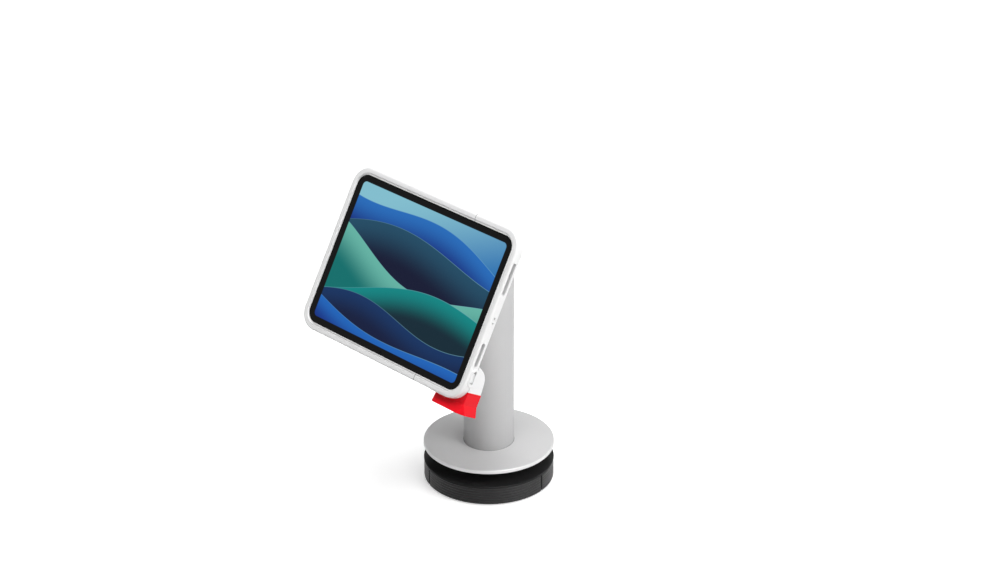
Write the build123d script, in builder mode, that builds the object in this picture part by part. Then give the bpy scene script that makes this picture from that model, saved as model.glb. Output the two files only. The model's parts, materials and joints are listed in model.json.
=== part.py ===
from build123d import *
import math
import os

# A tablet stand for a counter: a round weighted base, a pillar that swivels on it, a short
# neck with a tilting and turning head, and a tablet in a white case that clips to the head.
# Millimetres, +Z up. The origin is the centre of the foot ring on the counter, and the
# screen faces -Y.

os.makedirs("parts", exist_ok=True)

# Fits and clearances
running_clearance = 0.05
swing_clearance = 0.4
slip_clearance = 0.1
free_gap = 0.3

# Levels of the base, from the counter up
foot_lift = 1.8
foot_thickness = 2.6
plate_thickness = 2.6
skirt_height = 20.2
cover_thickness = 2.0
cover_gap = 17.0
disc_thickness = 4.5
pillar_length = 250.0

# Base
foot_inner_radius = 54.0
foot_outer_radius = 64.0
weight_radius = 69.0
weight_height = 13.6
skirt_thickness = 5.5
skirt_seam_angle = -20.0
skirt_seam_width = 2.3
skirt_count = 3
groove_count = 6
groove_pitch = 3.3
groove_depth = 0.5
groove_width = 1.3
first_groove_drop = 1.1
tongue_depth = 2.0
tongue_height = 4.0
tongue_level = 9.0
cover_radius = 74.9
cover_edge_bevel = 0.5
cover_rim_inner = 66.0
cover_rim_outer = 68.0
boss_radius = 4.5
base_screw_count = 3
base_screw_circle = 47.0
base_screw_radius = 2.0
base_screw_head_radius = 4.0
base_screw_tip_cover = 0.8
counter_hole_circle = 40.0
counter_hole_radius = 2.1
counter_hole_depth = 10.0
counter_hole_angle = 60.0
grommet_radius = 11.0
grommet_flange = 2.0
grommet_bore_radius = 4.0
grommet_lip = 0.7

# Swivel
journal_radius = 25.0
bushing_wall = 2.5
bushing_flange_thickness = 1.0
thrust_radius = 33.0
thrust_ring_thickness = 2.5
spindle_radius = 26.2
spindle_bore_radius = 20.0
spindle_foot_level = 5.0
spigot_height = 30.0
nut_recess_radius = 35.4
nut_recess_level = 9.6
friction_washer_thickness = 0.7
spindle_nut_radius = 32.0
spindle_nut_height = 3.0
spindle_nut_slots = 4
spindle_nut_slot_width = 6.0
spindle_nut_slot_depth = 3.0
stop_pin_radius = 2.25
stop_pin_circle = 37.7
stop_pin_root_level = 8.0
stop_pin_entry = 2.0
stop_groove_depth = 2.5
swivel_limit = 165.0

# Disc, pillar and cap
disc_radius = 75.0
disc_edge_bevel = 0.5
pillar_radius = 28.8
pillar_wall = 3.8
set_screw_radius = 2.5
set_screw_height = 12.5
set_screw_angle = 15.0
set_screw_recess = 0.6
cap_thickness = 1.5
cap_plug_depth = 4.5
cap_plug_wall = 4.0
cap_edge_bevel = 0.7

# Screen plane: the front of the glass, and its lean from upright
tilt_angle = 30.0
glass_forward = 121.0
glass_drop = 5.5

# Neck and tilt hinge, with the hinge axis behind the glass
hinge_depth = 42.0
lug_radius = 11.0
neck_width = 30.0
knuckle_width = 15.9
friction_disc_thickness = 1.0
friction_disc_radius = 10.5
slot_reach = 15.0
neck_root_rise = 23.0
neck_root_inset = 13.8
neck_bolt_radius = 6.0
neck_bolt_bore_radius = 3.5
neck_bolt_head_radius = 8.5
neck_bolt_head_height = 5.0
backing_width = 24.0
backing_height = 24.0
backing_thickness = 5.0
neck_nut_radius = 11.0
neck_nut_height = 6.0
neck_bolt_tail = 1.5
tilt_pin_radius = 4.0
tilt_head_radius = 7.0
tilt_head_height = 3.0
tilt_nut_height = 4.0
tilt_pin_tail = 1.0

# Head, as depths behind the glass
flange_back = 29.5
flange_thickness = 4.0
flange_radius = 22.0
yoke_neck_height = 16.0
turn_spigot_radius = 12.0
turn_spigot_end = 14.7
lead_bore_radius = 4.5
lead_side_radius = 3.0
lead_side_depth = 33.5
lead_bore_end = 36.0
turn_washer_thickness = 0.8
hub_radius = 20.0
dish_back = 18.2
dish_radius = 50.0
dish_floor = 2.0
dish_rim = 2.6
dish_edge_radius = 2.5
dish_front = 10.9
clip_thickness = 0.8
clip_width = 3.5
clip_seat_depth = 1.1
face_back = 14.4
face_front = 10.4
key_size = 40.0
key_corner_radius = 8.0
key_height = 1.5
magnet_count = 6
magnet_circle = 37.0
magnet_radius = 7.0
magnet_thickness = 3.0
post_radius = 3.5
post_circle = 28.0
face_screw_radius = 1.5
face_screw_head_radius = 2.9
face_screw_length = 7.0
contact_offset = 25.0
contact_length = 18.0
contact_height = 5.4
contact_flange = 1.0
contact_pin_count = 5
contact_pin_pitch = 3.2
contact_pin_radius = 0.8
contact_pin_reach = 0.3

# Tablet
tablet_width = 247.6
tablet_height = 178.5
tablet_thickness = 6.1
tablet_corner_radius = 18.0
tablet_edge_radius = 1.2
glass_thickness = 0.7
glass_margin = 0.5
display_side_border = 10.1
display_long_border = 9.25
display_thickness = 0.3
display_corner_radius = 5.0
front_camera_inset = 4.65
front_camera_radius = 2.0
front_camera_depth = 1.5
rear_camera_side_inset = 16.5
rear_camera_low_inset = 16.55
rear_camera_radius = 6.5
rear_camera_height = 1.8
rear_lens_radius = 4.2
rear_lens_recess = 0.4
port_width = 8.6
port_height = 2.8
port_depth = 6.0
port_level = 3.1

# Case
case_side_wall = 6.6
case_long_wall = 6.75
case_corner_radius = 22.0
case_back = 10.2
case_crest = 1.5
case_front_radius = 2.4
case_back_radius = 1.8
window_overlap = 1.5
window_corner_radius = 14.0
pocket_clearance = 0.2
pocket_end_clearance = 0.7
lip_gap = 0.05
lip_thickness = 0.65
lip_flat = 1.05
lip_web = 0.25
lip_groove_width = 0.5
lip_seat = 1.0
end_cap_length = 71.0
seam_gap = 0.2
sleeve_length = 8.0
sleeve_inset = 1.8
sleeve_back_inset = 1.5
sleeve_front_drop = 0.9
relief_depth = 0.6
relief_low = -50.0
relief_high = 42.0
keeper_inner_radius = 30.0
keeper_outer_radius = 46.0
keeper_thickness = 1.0
key_recess_depth = 1.8
key_clearance = 0.3
pad_recess = 0.3
pad_length = 2.4
pad_height = 4.0
pad_thickness = 0.4
flex_thickness = 0.5
flex_width = 8.0
plug_body_depth = 4.4
plug_body_width = 15.0
plug_body_height = 4.6
plug_tongue_length = 5.5
plug_tongue_width = 8.2
plug_tongue_height = 2.4
thumb_rib_depth = 0.5
thumb_rib_lead = 4.3
thumb_rib_low = 2.0
thumb_rib_high = 8.0

# Side openings of the end cap, from the tablet's ends and as depths behind the glass
slot_a_inset = 25.55
slot_a_length = 36.7
slot_b_inset = 34.65
slot_b_length = 27.4
slot_depth_centre = 3.5
slot_width = 5.0
mic_heights = (1.1, -4.5)
mic_depth = 4.7
mic_radius = 1.05
camera_hole_radius = 8.0
camera_channel_depth = 8.2

# Power key
collar_inset = 22.75
collar_depth = 6.3
collar_length = 20.7
collar_width = 10.3
collar_rise = 1.2
collar_edge_radius = 0.8
key_slot_length = 15.4
key_slot_width = 3.8
blade_length = 10.2
blade_width = 3.2
blade_rise = 0.5
blade_groove_count = 4
blade_groove_pitch = 2.0
blade_groove_width = 0.7
blade_groove_depth = 0.4
blade_groove_angle = 50.0
foot_length = 11.0
foot_front_depth = 2.2
foot_back_depth = 8.0
foot_plate_thickness = 1.1
foot_cavity_depth = 1.6
key_reach = 0.45
button_length = 12.0
button_width = 2.2
button_depth = 3.1
button_proud = 0.4
button_body = 1.3
button_pocket = 2.0

# Scanning hood, as heights from the case's lower edge and depths behind the glass
hood_width = 43.1
hood_front = 8.0
hood_back = 29.8
housing_top_rise = 43.5
housing_shoulder_rise = 35.4
housing_shoulder_depth = 27.2
housing_shoulder_radius = 18.0
housing_bottom_rise = 13.4
housing_wall = 2.0
housing_edge_radius = 1.6
flare_fold_drop = 0.6
flare_drop = 11.4
flare_spread = 4.0
flare_front_spread = 4.0
flare_corner = 7.0
fold_corner = 0.3
flare_wall = 1.6
collar_ring_height = 3.0
collar_ring_wall = 1.2
collar_ring_back = 26.5
hood_joint_gap = 0.1
mirror_low_rise = 19.0
mirror_depth = 21.5
mirror_thickness = 1.5
hood_screw_radius = 1.4
hood_screw_head_radius = 2.6
hood_screw_inset = 10.4
hood_screw_rise = 39.0
hood_screw_length = 6.5

# Levels worked out from the sizes above
skirt_top = foot_lift + skirt_height
cover_top = skirt_top + cover_thickness
disc_bottom = cover_top + cover_gap
disc_top = disc_bottom + disc_thickness
pillar_top = disc_top + pillar_length
plate_top = foot_lift + plate_thickness
weight_top = plate_top + weight_height
skirt_radius = weight_radius + slip_clearance + skirt_thickness
bushing_radius = journal_radius + running_clearance + bushing_wall
bushing_top = weight_top + bushing_flange_thickness
thrust_bottom = bushing_top + running_clearance
pillar_bore_radius = pillar_radius - pillar_wall
spigot_radius = pillar_bore_radius - running_clearance
spindle_top = disc_top + spigot_height
nut_top = nut_recess_level - friction_washer_thickness - running_clearance
nut_bottom = nut_top - spindle_nut_height
glass_height = pillar_top - glass_drop

# Tablet and case sizes worked out from the sizes above
display_width = tablet_width - 2 * display_side_border
display_height = tablet_height - 2 * display_long_border
front_camera_offset = tablet_height / 2 - front_camera_inset
rear_camera_x = tablet_width / 2 - rear_camera_side_inset
rear_camera_y = rear_camera_low_inset - tablet_height / 2
window_width = tablet_width - 2 * window_overlap
window_height = tablet_height - 2 * window_overlap
lip_top = lip_gap + lip_thickness
lip_strip_edge = window_overlap - lip_flat
lip_groove_edge = lip_groove_width - lip_strip_edge
groove_floor = lip_gap + lip_web
pocket_width = tablet_width + pocket_clearance + pocket_end_clearance
pocket_shift = (pocket_end_clearance - pocket_clearance) / 2
case_width = tablet_width + 2 * case_side_wall
case_height = tablet_height + 2 * case_long_wall
case_low = -case_height / 2
seam_x = case_width / 2 - end_cap_length
slot_a_high = tablet_height / 2 - slot_a_inset
slot_a_low = slot_a_high - slot_a_length
slot_b_low = slot_b_inset - tablet_height / 2
slot_b_high = slot_b_low + slot_b_length
collar_centre = collar_inset - tablet_height / 2
hood_right = case_width / 2
hood_left = hood_right - hood_width
thumb_rib_start = hood_left - thumb_rib_lead
housing_top = case_low + housing_top_rise
housing_shoulder = case_low + housing_shoulder_rise
housing_bottom = case_low + housing_bottom_rise
flare_fold = case_low - flare_fold_drop
flare_bottom = case_low - flare_drop
mirror_low = case_low + mirror_low_rise
mirror_offset = rear_camera_y + mirror_depth
hood_screw_height = case_low + hood_screw_rise

# Planes: the glass, its side view, and the hinge
lean = math.radians(tilt_angle)
face_plane = Plane(
    origin=(0, -glass_forward, glass_height),
    x_dir=(1, 0, 0),
    z_dir=(0, -math.cos(lean), math.sin(lean)),
)
face_axis = Axis(face_plane.origin, face_plane.z_dir)
hinge_point = face_plane.from_local_coords((0, 0, -hinge_depth))


def side_plane(x):
    # Looks along the tablet's width: local x runs up the screen, local y out of the glass
    return Plane(
        origin=face_plane.from_local_coords((x, 0, 0)),
        x_dir=face_plane.y_dir,
        z_dir=face_plane.x_dir,
    )


def edge_plane(y):
    # Looks up the screen: local x runs out of the glass, local y along the tablet's width
    return Plane(
        origin=face_plane.from_local_coords((0, y, 0)),
        x_dir=face_plane.z_dir,
        z_dir=face_plane.y_dir,
    )


def azimuth_plane(angle):
    # Upright half-plane at an angle from the front, turning towards +X: local x is outward
    turn = math.radians(angle - 90)
    return Plane(
        origin=(0, 0, 0),
        x_dir=(math.cos(turn), math.sin(turn), 0),
        z_dir=(math.sin(turn), -math.cos(turn), 0),
    )


def azimuth_point(radius, angle):
    turn = math.radians(angle - 90)
    return (radius * math.cos(turn), radius * math.sin(turn))


def save(part, name):
    part.label = name
    export_step(part, f"parts/{name}.step")


# Rubber foot ring
with BuildPart() as foot_ring:
    with BuildSketch():
        Circle(foot_outer_radius)
        Circle(foot_inner_radius, mode=Mode.SUBTRACT)
    extrude(amount=foot_thickness)
    chamfer(foot_ring.edges().group_by(Axis.Z)[0], foot_lift / 2)
save(foot_ring.part, "foot_ring")

base_screw_spots = [
    azimuth_point(base_screw_circle, 360 / base_screw_count * i) for i in range(base_screw_count)
]
counter_hole_spots = [
    azimuth_point(counter_hole_circle, counter_hole_angle + 120 * i) for i in range(3)
]

# Steel base plate with the foot groove, screw holes and counter holes
with BuildPart() as base_plate:
    with BuildSketch(Plane.XY.offset(foot_lift)):
        Circle(weight_radius)
        Circle(grommet_radius, mode=Mode.SUBTRACT)
    extrude(amount=plate_thickness)
    with BuildSketch(Plane.XY.offset(foot_lift)):
        Circle(foot_outer_radius + slip_clearance)
        Circle(foot_inner_radius - slip_clearance, mode=Mode.SUBTRACT)
    extrude(amount=foot_thickness - foot_lift, mode=Mode.SUBTRACT)
    with Locations(Plane.XY.offset(foot_lift).rotated((180, 0, 0))):
        with Locations([(x, -y) for x, y in base_screw_spots]):
            CounterSinkHole(base_screw_radius, base_screw_head_radius + slip_clearance, plate_thickness)
        with Locations([(x, -y) for x, y in counter_hole_spots]):
            Hole(counter_hole_radius, plate_thickness)
save(base_plate.part, "base_plate")

# Steel ballast with the bushing bore, the nut recess and the groove that holds the skirts
with BuildPart() as base_weight:
    with BuildSketch(Plane.XZ):
        with BuildLine():
            Polyline(
                (nut_recess_radius, plate_top),
                (weight_radius, plate_top),
                (weight_radius, tongue_level - slip_clearance),
                (weight_radius - tongue_depth, tongue_level - slip_clearance),
                (weight_radius - tongue_depth, tongue_level + tongue_height + slip_clearance),
                (weight_radius, tongue_level + tongue_height + slip_clearance),
                (weight_radius, weight_top),
                (bushing_radius, weight_top),
                (bushing_radius, nut_recess_level),
                (nut_recess_radius, nut_recess_level),
                close=True,
            )
        make_face()
    revolve(axis=Axis.Z)
    with BuildSketch(Plane.XY.offset(plate_top)):
        with Locations(base_screw_spots):
            Circle(base_screw_radius)
    extrude(amount=weight_height, mode=Mode.SUBTRACT)
    with BuildSketch(Plane.XY.offset(plate_top)):
        with Locations(counter_hole_spots):
            Circle(counter_hole_radius)
    extrude(amount=counter_hole_depth, mode=Mode.SUBTRACT)
    with BuildSketch(Plane.XY.offset(stop_pin_root_level)):
        with Locations(azimuth_point(stop_pin_circle, 0)):
            Circle(stop_pin_radius)
    extrude(amount=weight_height, mode=Mode.SUBTRACT)
save(base_weight.part, "base_weight")


def skirt_outline():
    # Section of a skirt piece: a ribbed outer wall and a tongue for the ballast's groove
    inner = weight_radius + slip_clearance
    points = [(inner, foot_lift), (skirt_radius, foot_lift)]
    for i in reversed(range(groove_count)):
        level = skirt_top - first_groove_drop - groove_pitch * i
        points.append((skirt_radius, level - groove_width / 2))
        points.append((skirt_radius - groove_depth, level))
        points.append((skirt_radius, level + groove_width / 2))
    points += [
        (skirt_radius, skirt_top),
        (inner, skirt_top),
        (inner, tongue_level + tongue_height),
        (inner - tongue_depth, tongue_level + tongue_height),
        (inner - tongue_depth, tongue_level),
        (inner, tongue_level),
    ]
    return points


# Ribbed rubber skirts round the ballast
skirt_names = ("skirt_right", "skirt_rear", "skirt_left")
seam_half_angle = math.degrees(skirt_seam_width / 2 / skirt_radius)
for index, skirt_name in enumerate(skirt_names):
    start_angle = skirt_seam_angle + 360 / skirt_count * index + seam_half_angle
    with BuildPart() as skirt:
        with BuildSketch(azimuth_plane(start_angle)):
            with BuildLine():
                Polyline(*skirt_outline(), close=True)
            make_face()
        revolve(axis=Axis.Z, revolution_arc=360 / skirt_count - 2 * seam_half_angle)
    save(skirt.part, skirt_name)

# Glossy cover with its locating rim and screw bosses
with BuildPart() as base_cover:
    with BuildSketch(Plane.XY.offset(skirt_top)):
        Circle(cover_radius)
    extrude(amount=cover_thickness)
    chamfer(base_cover.edges().group_by(Axis.Z)[-1], cover_edge_bevel)
    with BuildSketch(Plane.XY.offset(weight_top)):
        Circle(cover_rim_outer)
        Circle(cover_rim_inner, mode=Mode.SUBTRACT)
        with Locations(base_screw_spots):
            Circle(boss_radius)
    extrude(amount=skirt_top - weight_top)
    with BuildSketch(Plane.XY.offset(weight_top)):
        with Locations(base_screw_spots):
            Circle(base_screw_radius)
    extrude(amount=cover_top - base_screw_tip_cover - weight_top, mode=Mode.SUBTRACT)
    with BuildSketch(Plane.XY.offset(weight_top)):
        Circle(spindle_radius + swing_clearance)
        with Locations(azimuth_point(stop_pin_circle, 0)):
            Circle(stop_pin_radius + slip_clearance)
    extrude(amount=cover_top - weight_top, mode=Mode.SUBTRACT)
save(base_cover.part, "base_cover")

# Countersunk screws that clamp plate, ballast and cover together
with BuildPart() as base_screws:
    for spot in base_screw_spots:
        with BuildSketch(Plane.XY.offset(foot_lift)):
            with Locations(spot):
                Circle(base_screw_radius)
        extrude(amount=cover_top - base_screw_tip_cover - foot_lift)
        with Locations((*spot, foot_lift)):
            Cone(
                base_screw_head_radius,
                base_screw_radius,
                base_screw_head_radius - base_screw_radius,
                align=(Align.CENTER, Align.CENTER, Align.MIN),
            )
save(base_screws.part, "base_screws")

# Rubber grommet where the supply lead leaves the base
with BuildPart() as cable_grommet:
    with BuildSketch(Plane.XZ):
        with BuildLine():
            Polyline(
                (grommet_bore_radius, foot_lift - grommet_lip),
                (grommet_radius + grommet_flange, foot_lift - grommet_lip),
                (grommet_radius + grommet_flange, foot_lift),
                (grommet_radius, foot_lift),
                (grommet_radius, plate_top),
                (grommet_radius + grommet_flange, plate_top),
                (grommet_radius + grommet_flange, plate_top + grommet_lip),
                (grommet_bore_radius, plate_top + grommet_lip),
                close=True,
            )
        make_face()
    revolve(axis=Axis.Z)
save(cable_grommet.part, "cable_grommet")

# Fixed pin that stops the swivel at the ends of the disc's groove
with BuildPart() as stop_pin:
    with BuildSketch(Plane.XY.offset(stop_pin_root_level)):
        with Locations(azimuth_point(stop_pin_circle, 0)):
            Circle(stop_pin_radius)
    extrude(amount=disc_bottom + stop_pin_entry - stop_pin_root_level)
    chamfer(stop_pin.edges().group_by(Axis.Z)[-1], cover_edge_bevel)
save(stop_pin.part, "stop_pin")

# Flanged bushing that the spindle turns in
with BuildPart() as swivel_bushing:
    with BuildSketch(Plane.XY.offset(nut_recess_level + slip_clearance)):
        Circle(bushing_radius)
    extrude(amount=bushing_top - nut_recess_level - slip_clearance)
    with BuildSketch(Plane.XY.offset(weight_top)):
        Circle(thrust_radius)
    extrude(amount=bushing_flange_thickness)
    Hole(journal_radius + running_clearance)
save(swivel_bushing.part, "swivel_bushing")

# Friction washer between the ballast and the ring nut
with BuildPart() as friction_washer:
    with BuildSketch(Plane.XY.offset(nut_recess_level - friction_washer_thickness)):
        Circle(thrust_radius)
        Circle(journal_radius + free_gap, mode=Mode.SUBTRACT)
    extrude(amount=friction_washer_thickness)
save(friction_washer.part, "friction_washer")


def set_screw_planes():
    # One plane for each set screw at the rear, with its normal pointing outward
    level = disc_top + set_screw_height
    for angle in (180 - set_screw_angle, 180 + set_screw_angle):
        turn = math.radians(angle - 90)
        yield Plane(origin=(0, 0, level), z_dir=(math.cos(turn), math.sin(turn), 0))


# Ring under the spindle's shoulder that carries the load on the bushing
with BuildPart() as thrust_ring:
    with BuildSketch(Plane.XY.offset(thrust_bottom)):
        Circle(thrust_radius)
        Circle(journal_radius, mode=Mode.SUBTRACT)
    extrude(amount=thrust_ring_thickness)
save(thrust_ring.part, "thrust_ring")

# Hollow spindle: journal, visible tube and the spigot inside the pillar
with BuildPart() as spindle:
    with BuildSketch(Plane.XZ):
        with BuildLine():
            Polyline(
                (spindle_bore_radius, spindle_foot_level),
                (journal_radius, spindle_foot_level),
                (journal_radius, thrust_bottom + thrust_ring_thickness),
                (spindle_radius, thrust_bottom + thrust_ring_thickness),
                (spindle_radius, disc_bottom),
                (spigot_radius, disc_bottom),
                (spigot_radius, spindle_top),
                (spindle_bore_radius, spindle_top),
                close=True,
            )
        make_face()
    revolve(axis=Axis.Z)
    for plane in set_screw_planes():
        with BuildSketch(plane):
            Circle(set_screw_radius)
        extrude(amount=pillar_radius, mode=Mode.SUBTRACT)
save(spindle.part, "spindle")

# Slotted ring nut under the ballast
with BuildPart() as spindle_nut:
    with BuildSketch(Plane.XY.offset(nut_bottom)):
        Circle(spindle_nut_radius)
        Circle(journal_radius, mode=Mode.SUBTRACT)
        with PolarLocations(spindle_nut_radius, spindle_nut_slots):
            Rectangle(2 * spindle_nut_slot_depth, spindle_nut_slot_width, mode=Mode.SUBTRACT)
    extrude(amount=spindle_nut_height)
save(spindle_nut.part, "spindle_nut")

# Silver disc with the stop groove in its underside
with BuildPart() as base_disc:
    with BuildSketch(Plane.XY.offset(disc_bottom)):
        Circle(disc_radius)
        Circle(pillar_bore_radius, mode=Mode.SUBTRACT)
    extrude(amount=disc_thickness)
    outer_edges = base_disc.edges().filter_by(GeomType.CIRCLE).group_by(SortBy.RADIUS)[-1]
    chamfer(outer_edges, disc_edge_bevel)
    with BuildSketch(Plane.XY.offset(disc_bottom)):
        SlotArc(
            CenterArc((0, 0), stop_pin_circle, -90 - swivel_limit, 2 * swivel_limit),
            2 * (stop_pin_radius + swing_clearance),
        )
    extrude(amount=stop_groove_depth, mode=Mode.SUBTRACT)
save(base_disc.part, "base_disc")

neck_bolt_plane = Plane(
    origin=(0, 0, hinge_point.Z),
    x_dir=(1, 0, 0),
    z_dir=(0, -1, 0),
)
slot_floor = hinge_point.Y + slot_reach

# Pillar tube, with the neck bolt's hole and the set screw holes
with BuildPart() as pillar:
    with BuildSketch(Plane.XY.offset(disc_top)):
        Circle(pillar_radius)
        Circle(pillar_bore_radius, mode=Mode.SUBTRACT)
    extrude(amount=pillar_length)
    with BuildSketch(neck_bolt_plane):
        Circle(neck_bolt_radius + slip_clearance)
    extrude(amount=pillar_radius + 1, mode=Mode.SUBTRACT)
    for plane in set_screw_planes():
        with BuildSketch(plane):
            Circle(set_screw_radius)
        extrude(amount=pillar_radius + 1, mode=Mode.SUBTRACT)
save(pillar.part, "pillar")

# Set screws with hexagon sockets that lock the pillar to the spindle
with BuildPart() as set_screws:
    for plane in set_screw_planes():
        with BuildSketch(plane.offset(spindle_bore_radius + 1)):
            Circle(set_screw_radius)
        extrude(amount=pillar_radius - set_screw_recess - spindle_bore_radius - 1)
        with BuildSketch(plane.offset(pillar_radius - set_screw_recess)):
            RegularPolygon(set_screw_radius / 2, 6)
        extrude(amount=-set_screw_radius, mode=Mode.SUBTRACT)
save(set_screws.part, "set_screws")

# Cap that closes the pillar
with BuildPart() as pillar_cap:
    with BuildSketch(Plane.XY.offset(pillar_top)):
        Circle(pillar_radius)
    extrude(amount=cap_thickness)
    chamfer(pillar_cap.edges().group_by(Axis.Z)[-1], cap_edge_bevel)
    with BuildSketch(Plane.XY.offset(pillar_top - cap_plug_depth)):
        Circle(pillar_bore_radius - slip_clearance)
        Circle(pillar_bore_radius - cap_plug_wall, mode=Mode.SUBTRACT)
    extrude(amount=cap_plug_depth)
save(pillar_cap.part, "pillar_cap")

# Neck arm: a flared root that fits the pillar and a fork for the tilt hinge
with BuildPart() as neck_arm:
    with BuildSketch(Plane.YZ):
        with BuildLine():
            nose_low = (hinge_point.Y, hinge_point.Z - lug_radius)
            nose_high = (hinge_point.Y, hinge_point.Z + lug_radius)
            root_low = (-neck_root_inset, hinge_point.Z - neck_root_rise)
            root_high = (-neck_root_inset, hinge_point.Z + neck_root_rise)
            ThreePointArc(nose_low, (hinge_point.Y - lug_radius, hinge_point.Z), nose_high)
            TangentArc(nose_high, root_high, tangent=(1, 0))
            Line(root_high, root_low)
            TangentArc(nose_low, root_low, tangent=(1, 0))
        make_face()
    extrude(amount=neck_width / 2, both=True)
    side_edges = neck_arm.edges().filter_by(GeomType.CIRCLE)
    fillet(side_edges, 1.5)
    with BuildSketch(Plane.XY.offset(hinge_point.Z - 2 * neck_root_rise)):
        Circle(pillar_radius)
    extrude(amount=4 * neck_root_rise, mode=Mode.SUBTRACT)
    fork_half = knuckle_width / 2 + running_clearance + friction_disc_thickness
    with BuildSketch(Plane.XY.offset(hinge_point.Z - 2 * neck_root_rise)):
        with Locations((0, slot_floor)):
            Rectangle(2 * fork_half, 4 * lug_radius, align=(Align.CENTER, Align.MAX))
    extrude(amount=4 * neck_root_rise, mode=Mode.SUBTRACT)
    with BuildSketch(neck_bolt_plane):
        Circle(neck_bolt_radius + slip_clearance)
    extrude(amount=-slot_floor, mode=Mode.SUBTRACT)
    with BuildSketch(neck_bolt_plane.offset(-slot_floor)):
        Circle(neck_bolt_head_radius + slip_clearance)
    extrude(amount=-neck_bolt_head_height, mode=Mode.SUBTRACT)
    with BuildSketch(Plane.YZ):
        with Locations((hinge_point.Y, hinge_point.Z)):
            Circle(tilt_pin_radius)
    extrude(amount=neck_width, both=True, mode=Mode.SUBTRACT)
save(neck_arm.part, "neck_arm")

# Curved backing block inside the pillar
backing_face = -math.sqrt(pillar_bore_radius**2 - (backing_width / 2) ** 2) + backing_thickness
with BuildPart() as neck_backing:
    with BuildSketch(Plane.XY.offset(hinge_point.Z - backing_height / 2)):
        Circle(pillar_bore_radius)
        with Locations((0, backing_face)):
            Rectangle(
                backing_width,
                pillar_bore_radius,
                align=(Align.CENTER, Align.MAX),
                mode=Mode.INTERSECT,
            )
    extrude(amount=backing_height)
    with BuildSketch(neck_bolt_plane):
        Circle(neck_bolt_radius + slip_clearance)
    extrude(amount=pillar_radius, mode=Mode.SUBTRACT)
save(neck_backing.part, "neck_backing")

# Hollow neck bolt, which also lets the lead through
neck_bolt_end = -backing_face - neck_nut_height - neck_bolt_tail
with BuildPart() as neck_bolt:
    with BuildSketch(neck_bolt_plane.offset(neck_bolt_end)):
        Circle(neck_bolt_radius)
    extrude(amount=-slot_floor - neck_bolt_end)
    with BuildSketch(neck_bolt_plane.offset(-slot_floor)):
        Circle(neck_bolt_head_radius)
    extrude(amount=-neck_bolt_head_height)
    with BuildSketch(neck_bolt_plane.offset(-slot_floor)):
        RegularPolygon(neck_bolt_radius, 6, major_radius=True)
    extrude(amount=-neck_bolt_head_height / 2, mode=Mode.SUBTRACT)
    with BuildSketch(neck_bolt_plane.offset(neck_bolt_end)):
        Circle(neck_bolt_bore_radius)
    extrude(amount=-slot_floor - neck_bolt_end, mode=Mode.SUBTRACT)
save(neck_bolt.part, "neck_bolt")

# Nut of the neck bolt
with BuildPart() as neck_nut:
    with BuildSketch(neck_bolt_plane.offset(-backing_face)):
        RegularPolygon(neck_nut_radius, 6)
        Circle(neck_bolt_radius, mode=Mode.SUBTRACT)
    extrude(amount=-neck_nut_height)
save(neck_nut.part, "neck_nut")

hinge_plane = Plane(origin=hinge_point, x_dir=face_plane.y_dir, z_dir=(1, 0, 0))

# Tilt pin with a round head
with BuildPart() as tilt_pin:
    with BuildSketch(hinge_plane.offset(-neck_width / 2)):
        Circle(tilt_pin_radius)
    extrude(amount=neck_width + tilt_nut_height + tilt_pin_tail)
    with BuildSketch(hinge_plane.offset(-neck_width / 2)):
        Circle(tilt_head_radius)
    extrude(amount=-tilt_head_height)
    chamfer(tilt_pin.edges().group_by(Axis.X)[0], tilt_head_height / 3)
save(tilt_pin.part, "tilt_pin")

# Nut of the tilt pin
with BuildPart() as tilt_nut:
    with BuildSketch(hinge_plane.offset(neck_width / 2)):
        RegularPolygon(tilt_head_radius, 6)
        Circle(tilt_pin_radius, mode=Mode.SUBTRACT)
    extrude(amount=tilt_nut_height)
save(tilt_nut.part, "tilt_nut")

# Friction discs on both sides of the knuckle
with BuildPart() as friction_discs:
    for side in (-1, 1):
        start = side * (knuckle_width / 2 + running_clearance)
        with BuildSketch(hinge_plane.offset(start)):
            Circle(friction_disc_radius)
            Circle(tilt_pin_radius, mode=Mode.SUBTRACT)
        extrude(amount=side * friction_disc_thickness)
save(friction_discs.part, "friction_discs")

# Tilting yoke: knuckle, neck, flange and the spigot that the head turns on
flange_front = flange_back - flange_thickness
clip_back = dish_back - dish_floor - slip_clearance
with BuildPart() as head_yoke:
    with BuildSketch(hinge_plane):
        Circle(lug_radius)
        with Locations((0, 0)):
            Rectangle(
                yoke_neck_height,
                hinge_depth - flange_back,
                align=(Align.CENTER, Align.MIN),
            )
    extrude(amount=knuckle_width / 2, both=True)
    with BuildSketch(face_plane.offset(-flange_back)):
        Circle(flange_radius)
    extrude(amount=flange_thickness)
    with BuildSketch(face_plane.offset(-flange_front)):
        Circle(turn_spigot_radius)
    extrude(amount=flange_front - turn_spigot_end)
    with BuildSketch(face_plane.offset(-clip_back)):
        Circle(turn_spigot_radius + 1)
        Circle(turn_spigot_radius - clip_seat_depth, mode=Mode.SUBTRACT)
    extrude(amount=clip_thickness, mode=Mode.SUBTRACT)
    with BuildSketch(face_plane.offset(-turn_spigot_end)):
        Circle(lead_bore_radius)
    extrude(amount=-(lead_bore_end - turn_spigot_end), mode=Mode.SUBTRACT)
    with BuildSketch(edge_plane(0)):
        with Locations((-lead_side_depth, 0)):
            Circle(lead_side_radius)
    extrude(amount=-flange_radius, mode=Mode.SUBTRACT)
    with BuildSketch(hinge_plane):
        Circle(tilt_pin_radius + running_clearance)
    extrude(amount=knuckle_width, both=True, mode=Mode.SUBTRACT)
save(head_yoke.part, "head_yoke")

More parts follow.
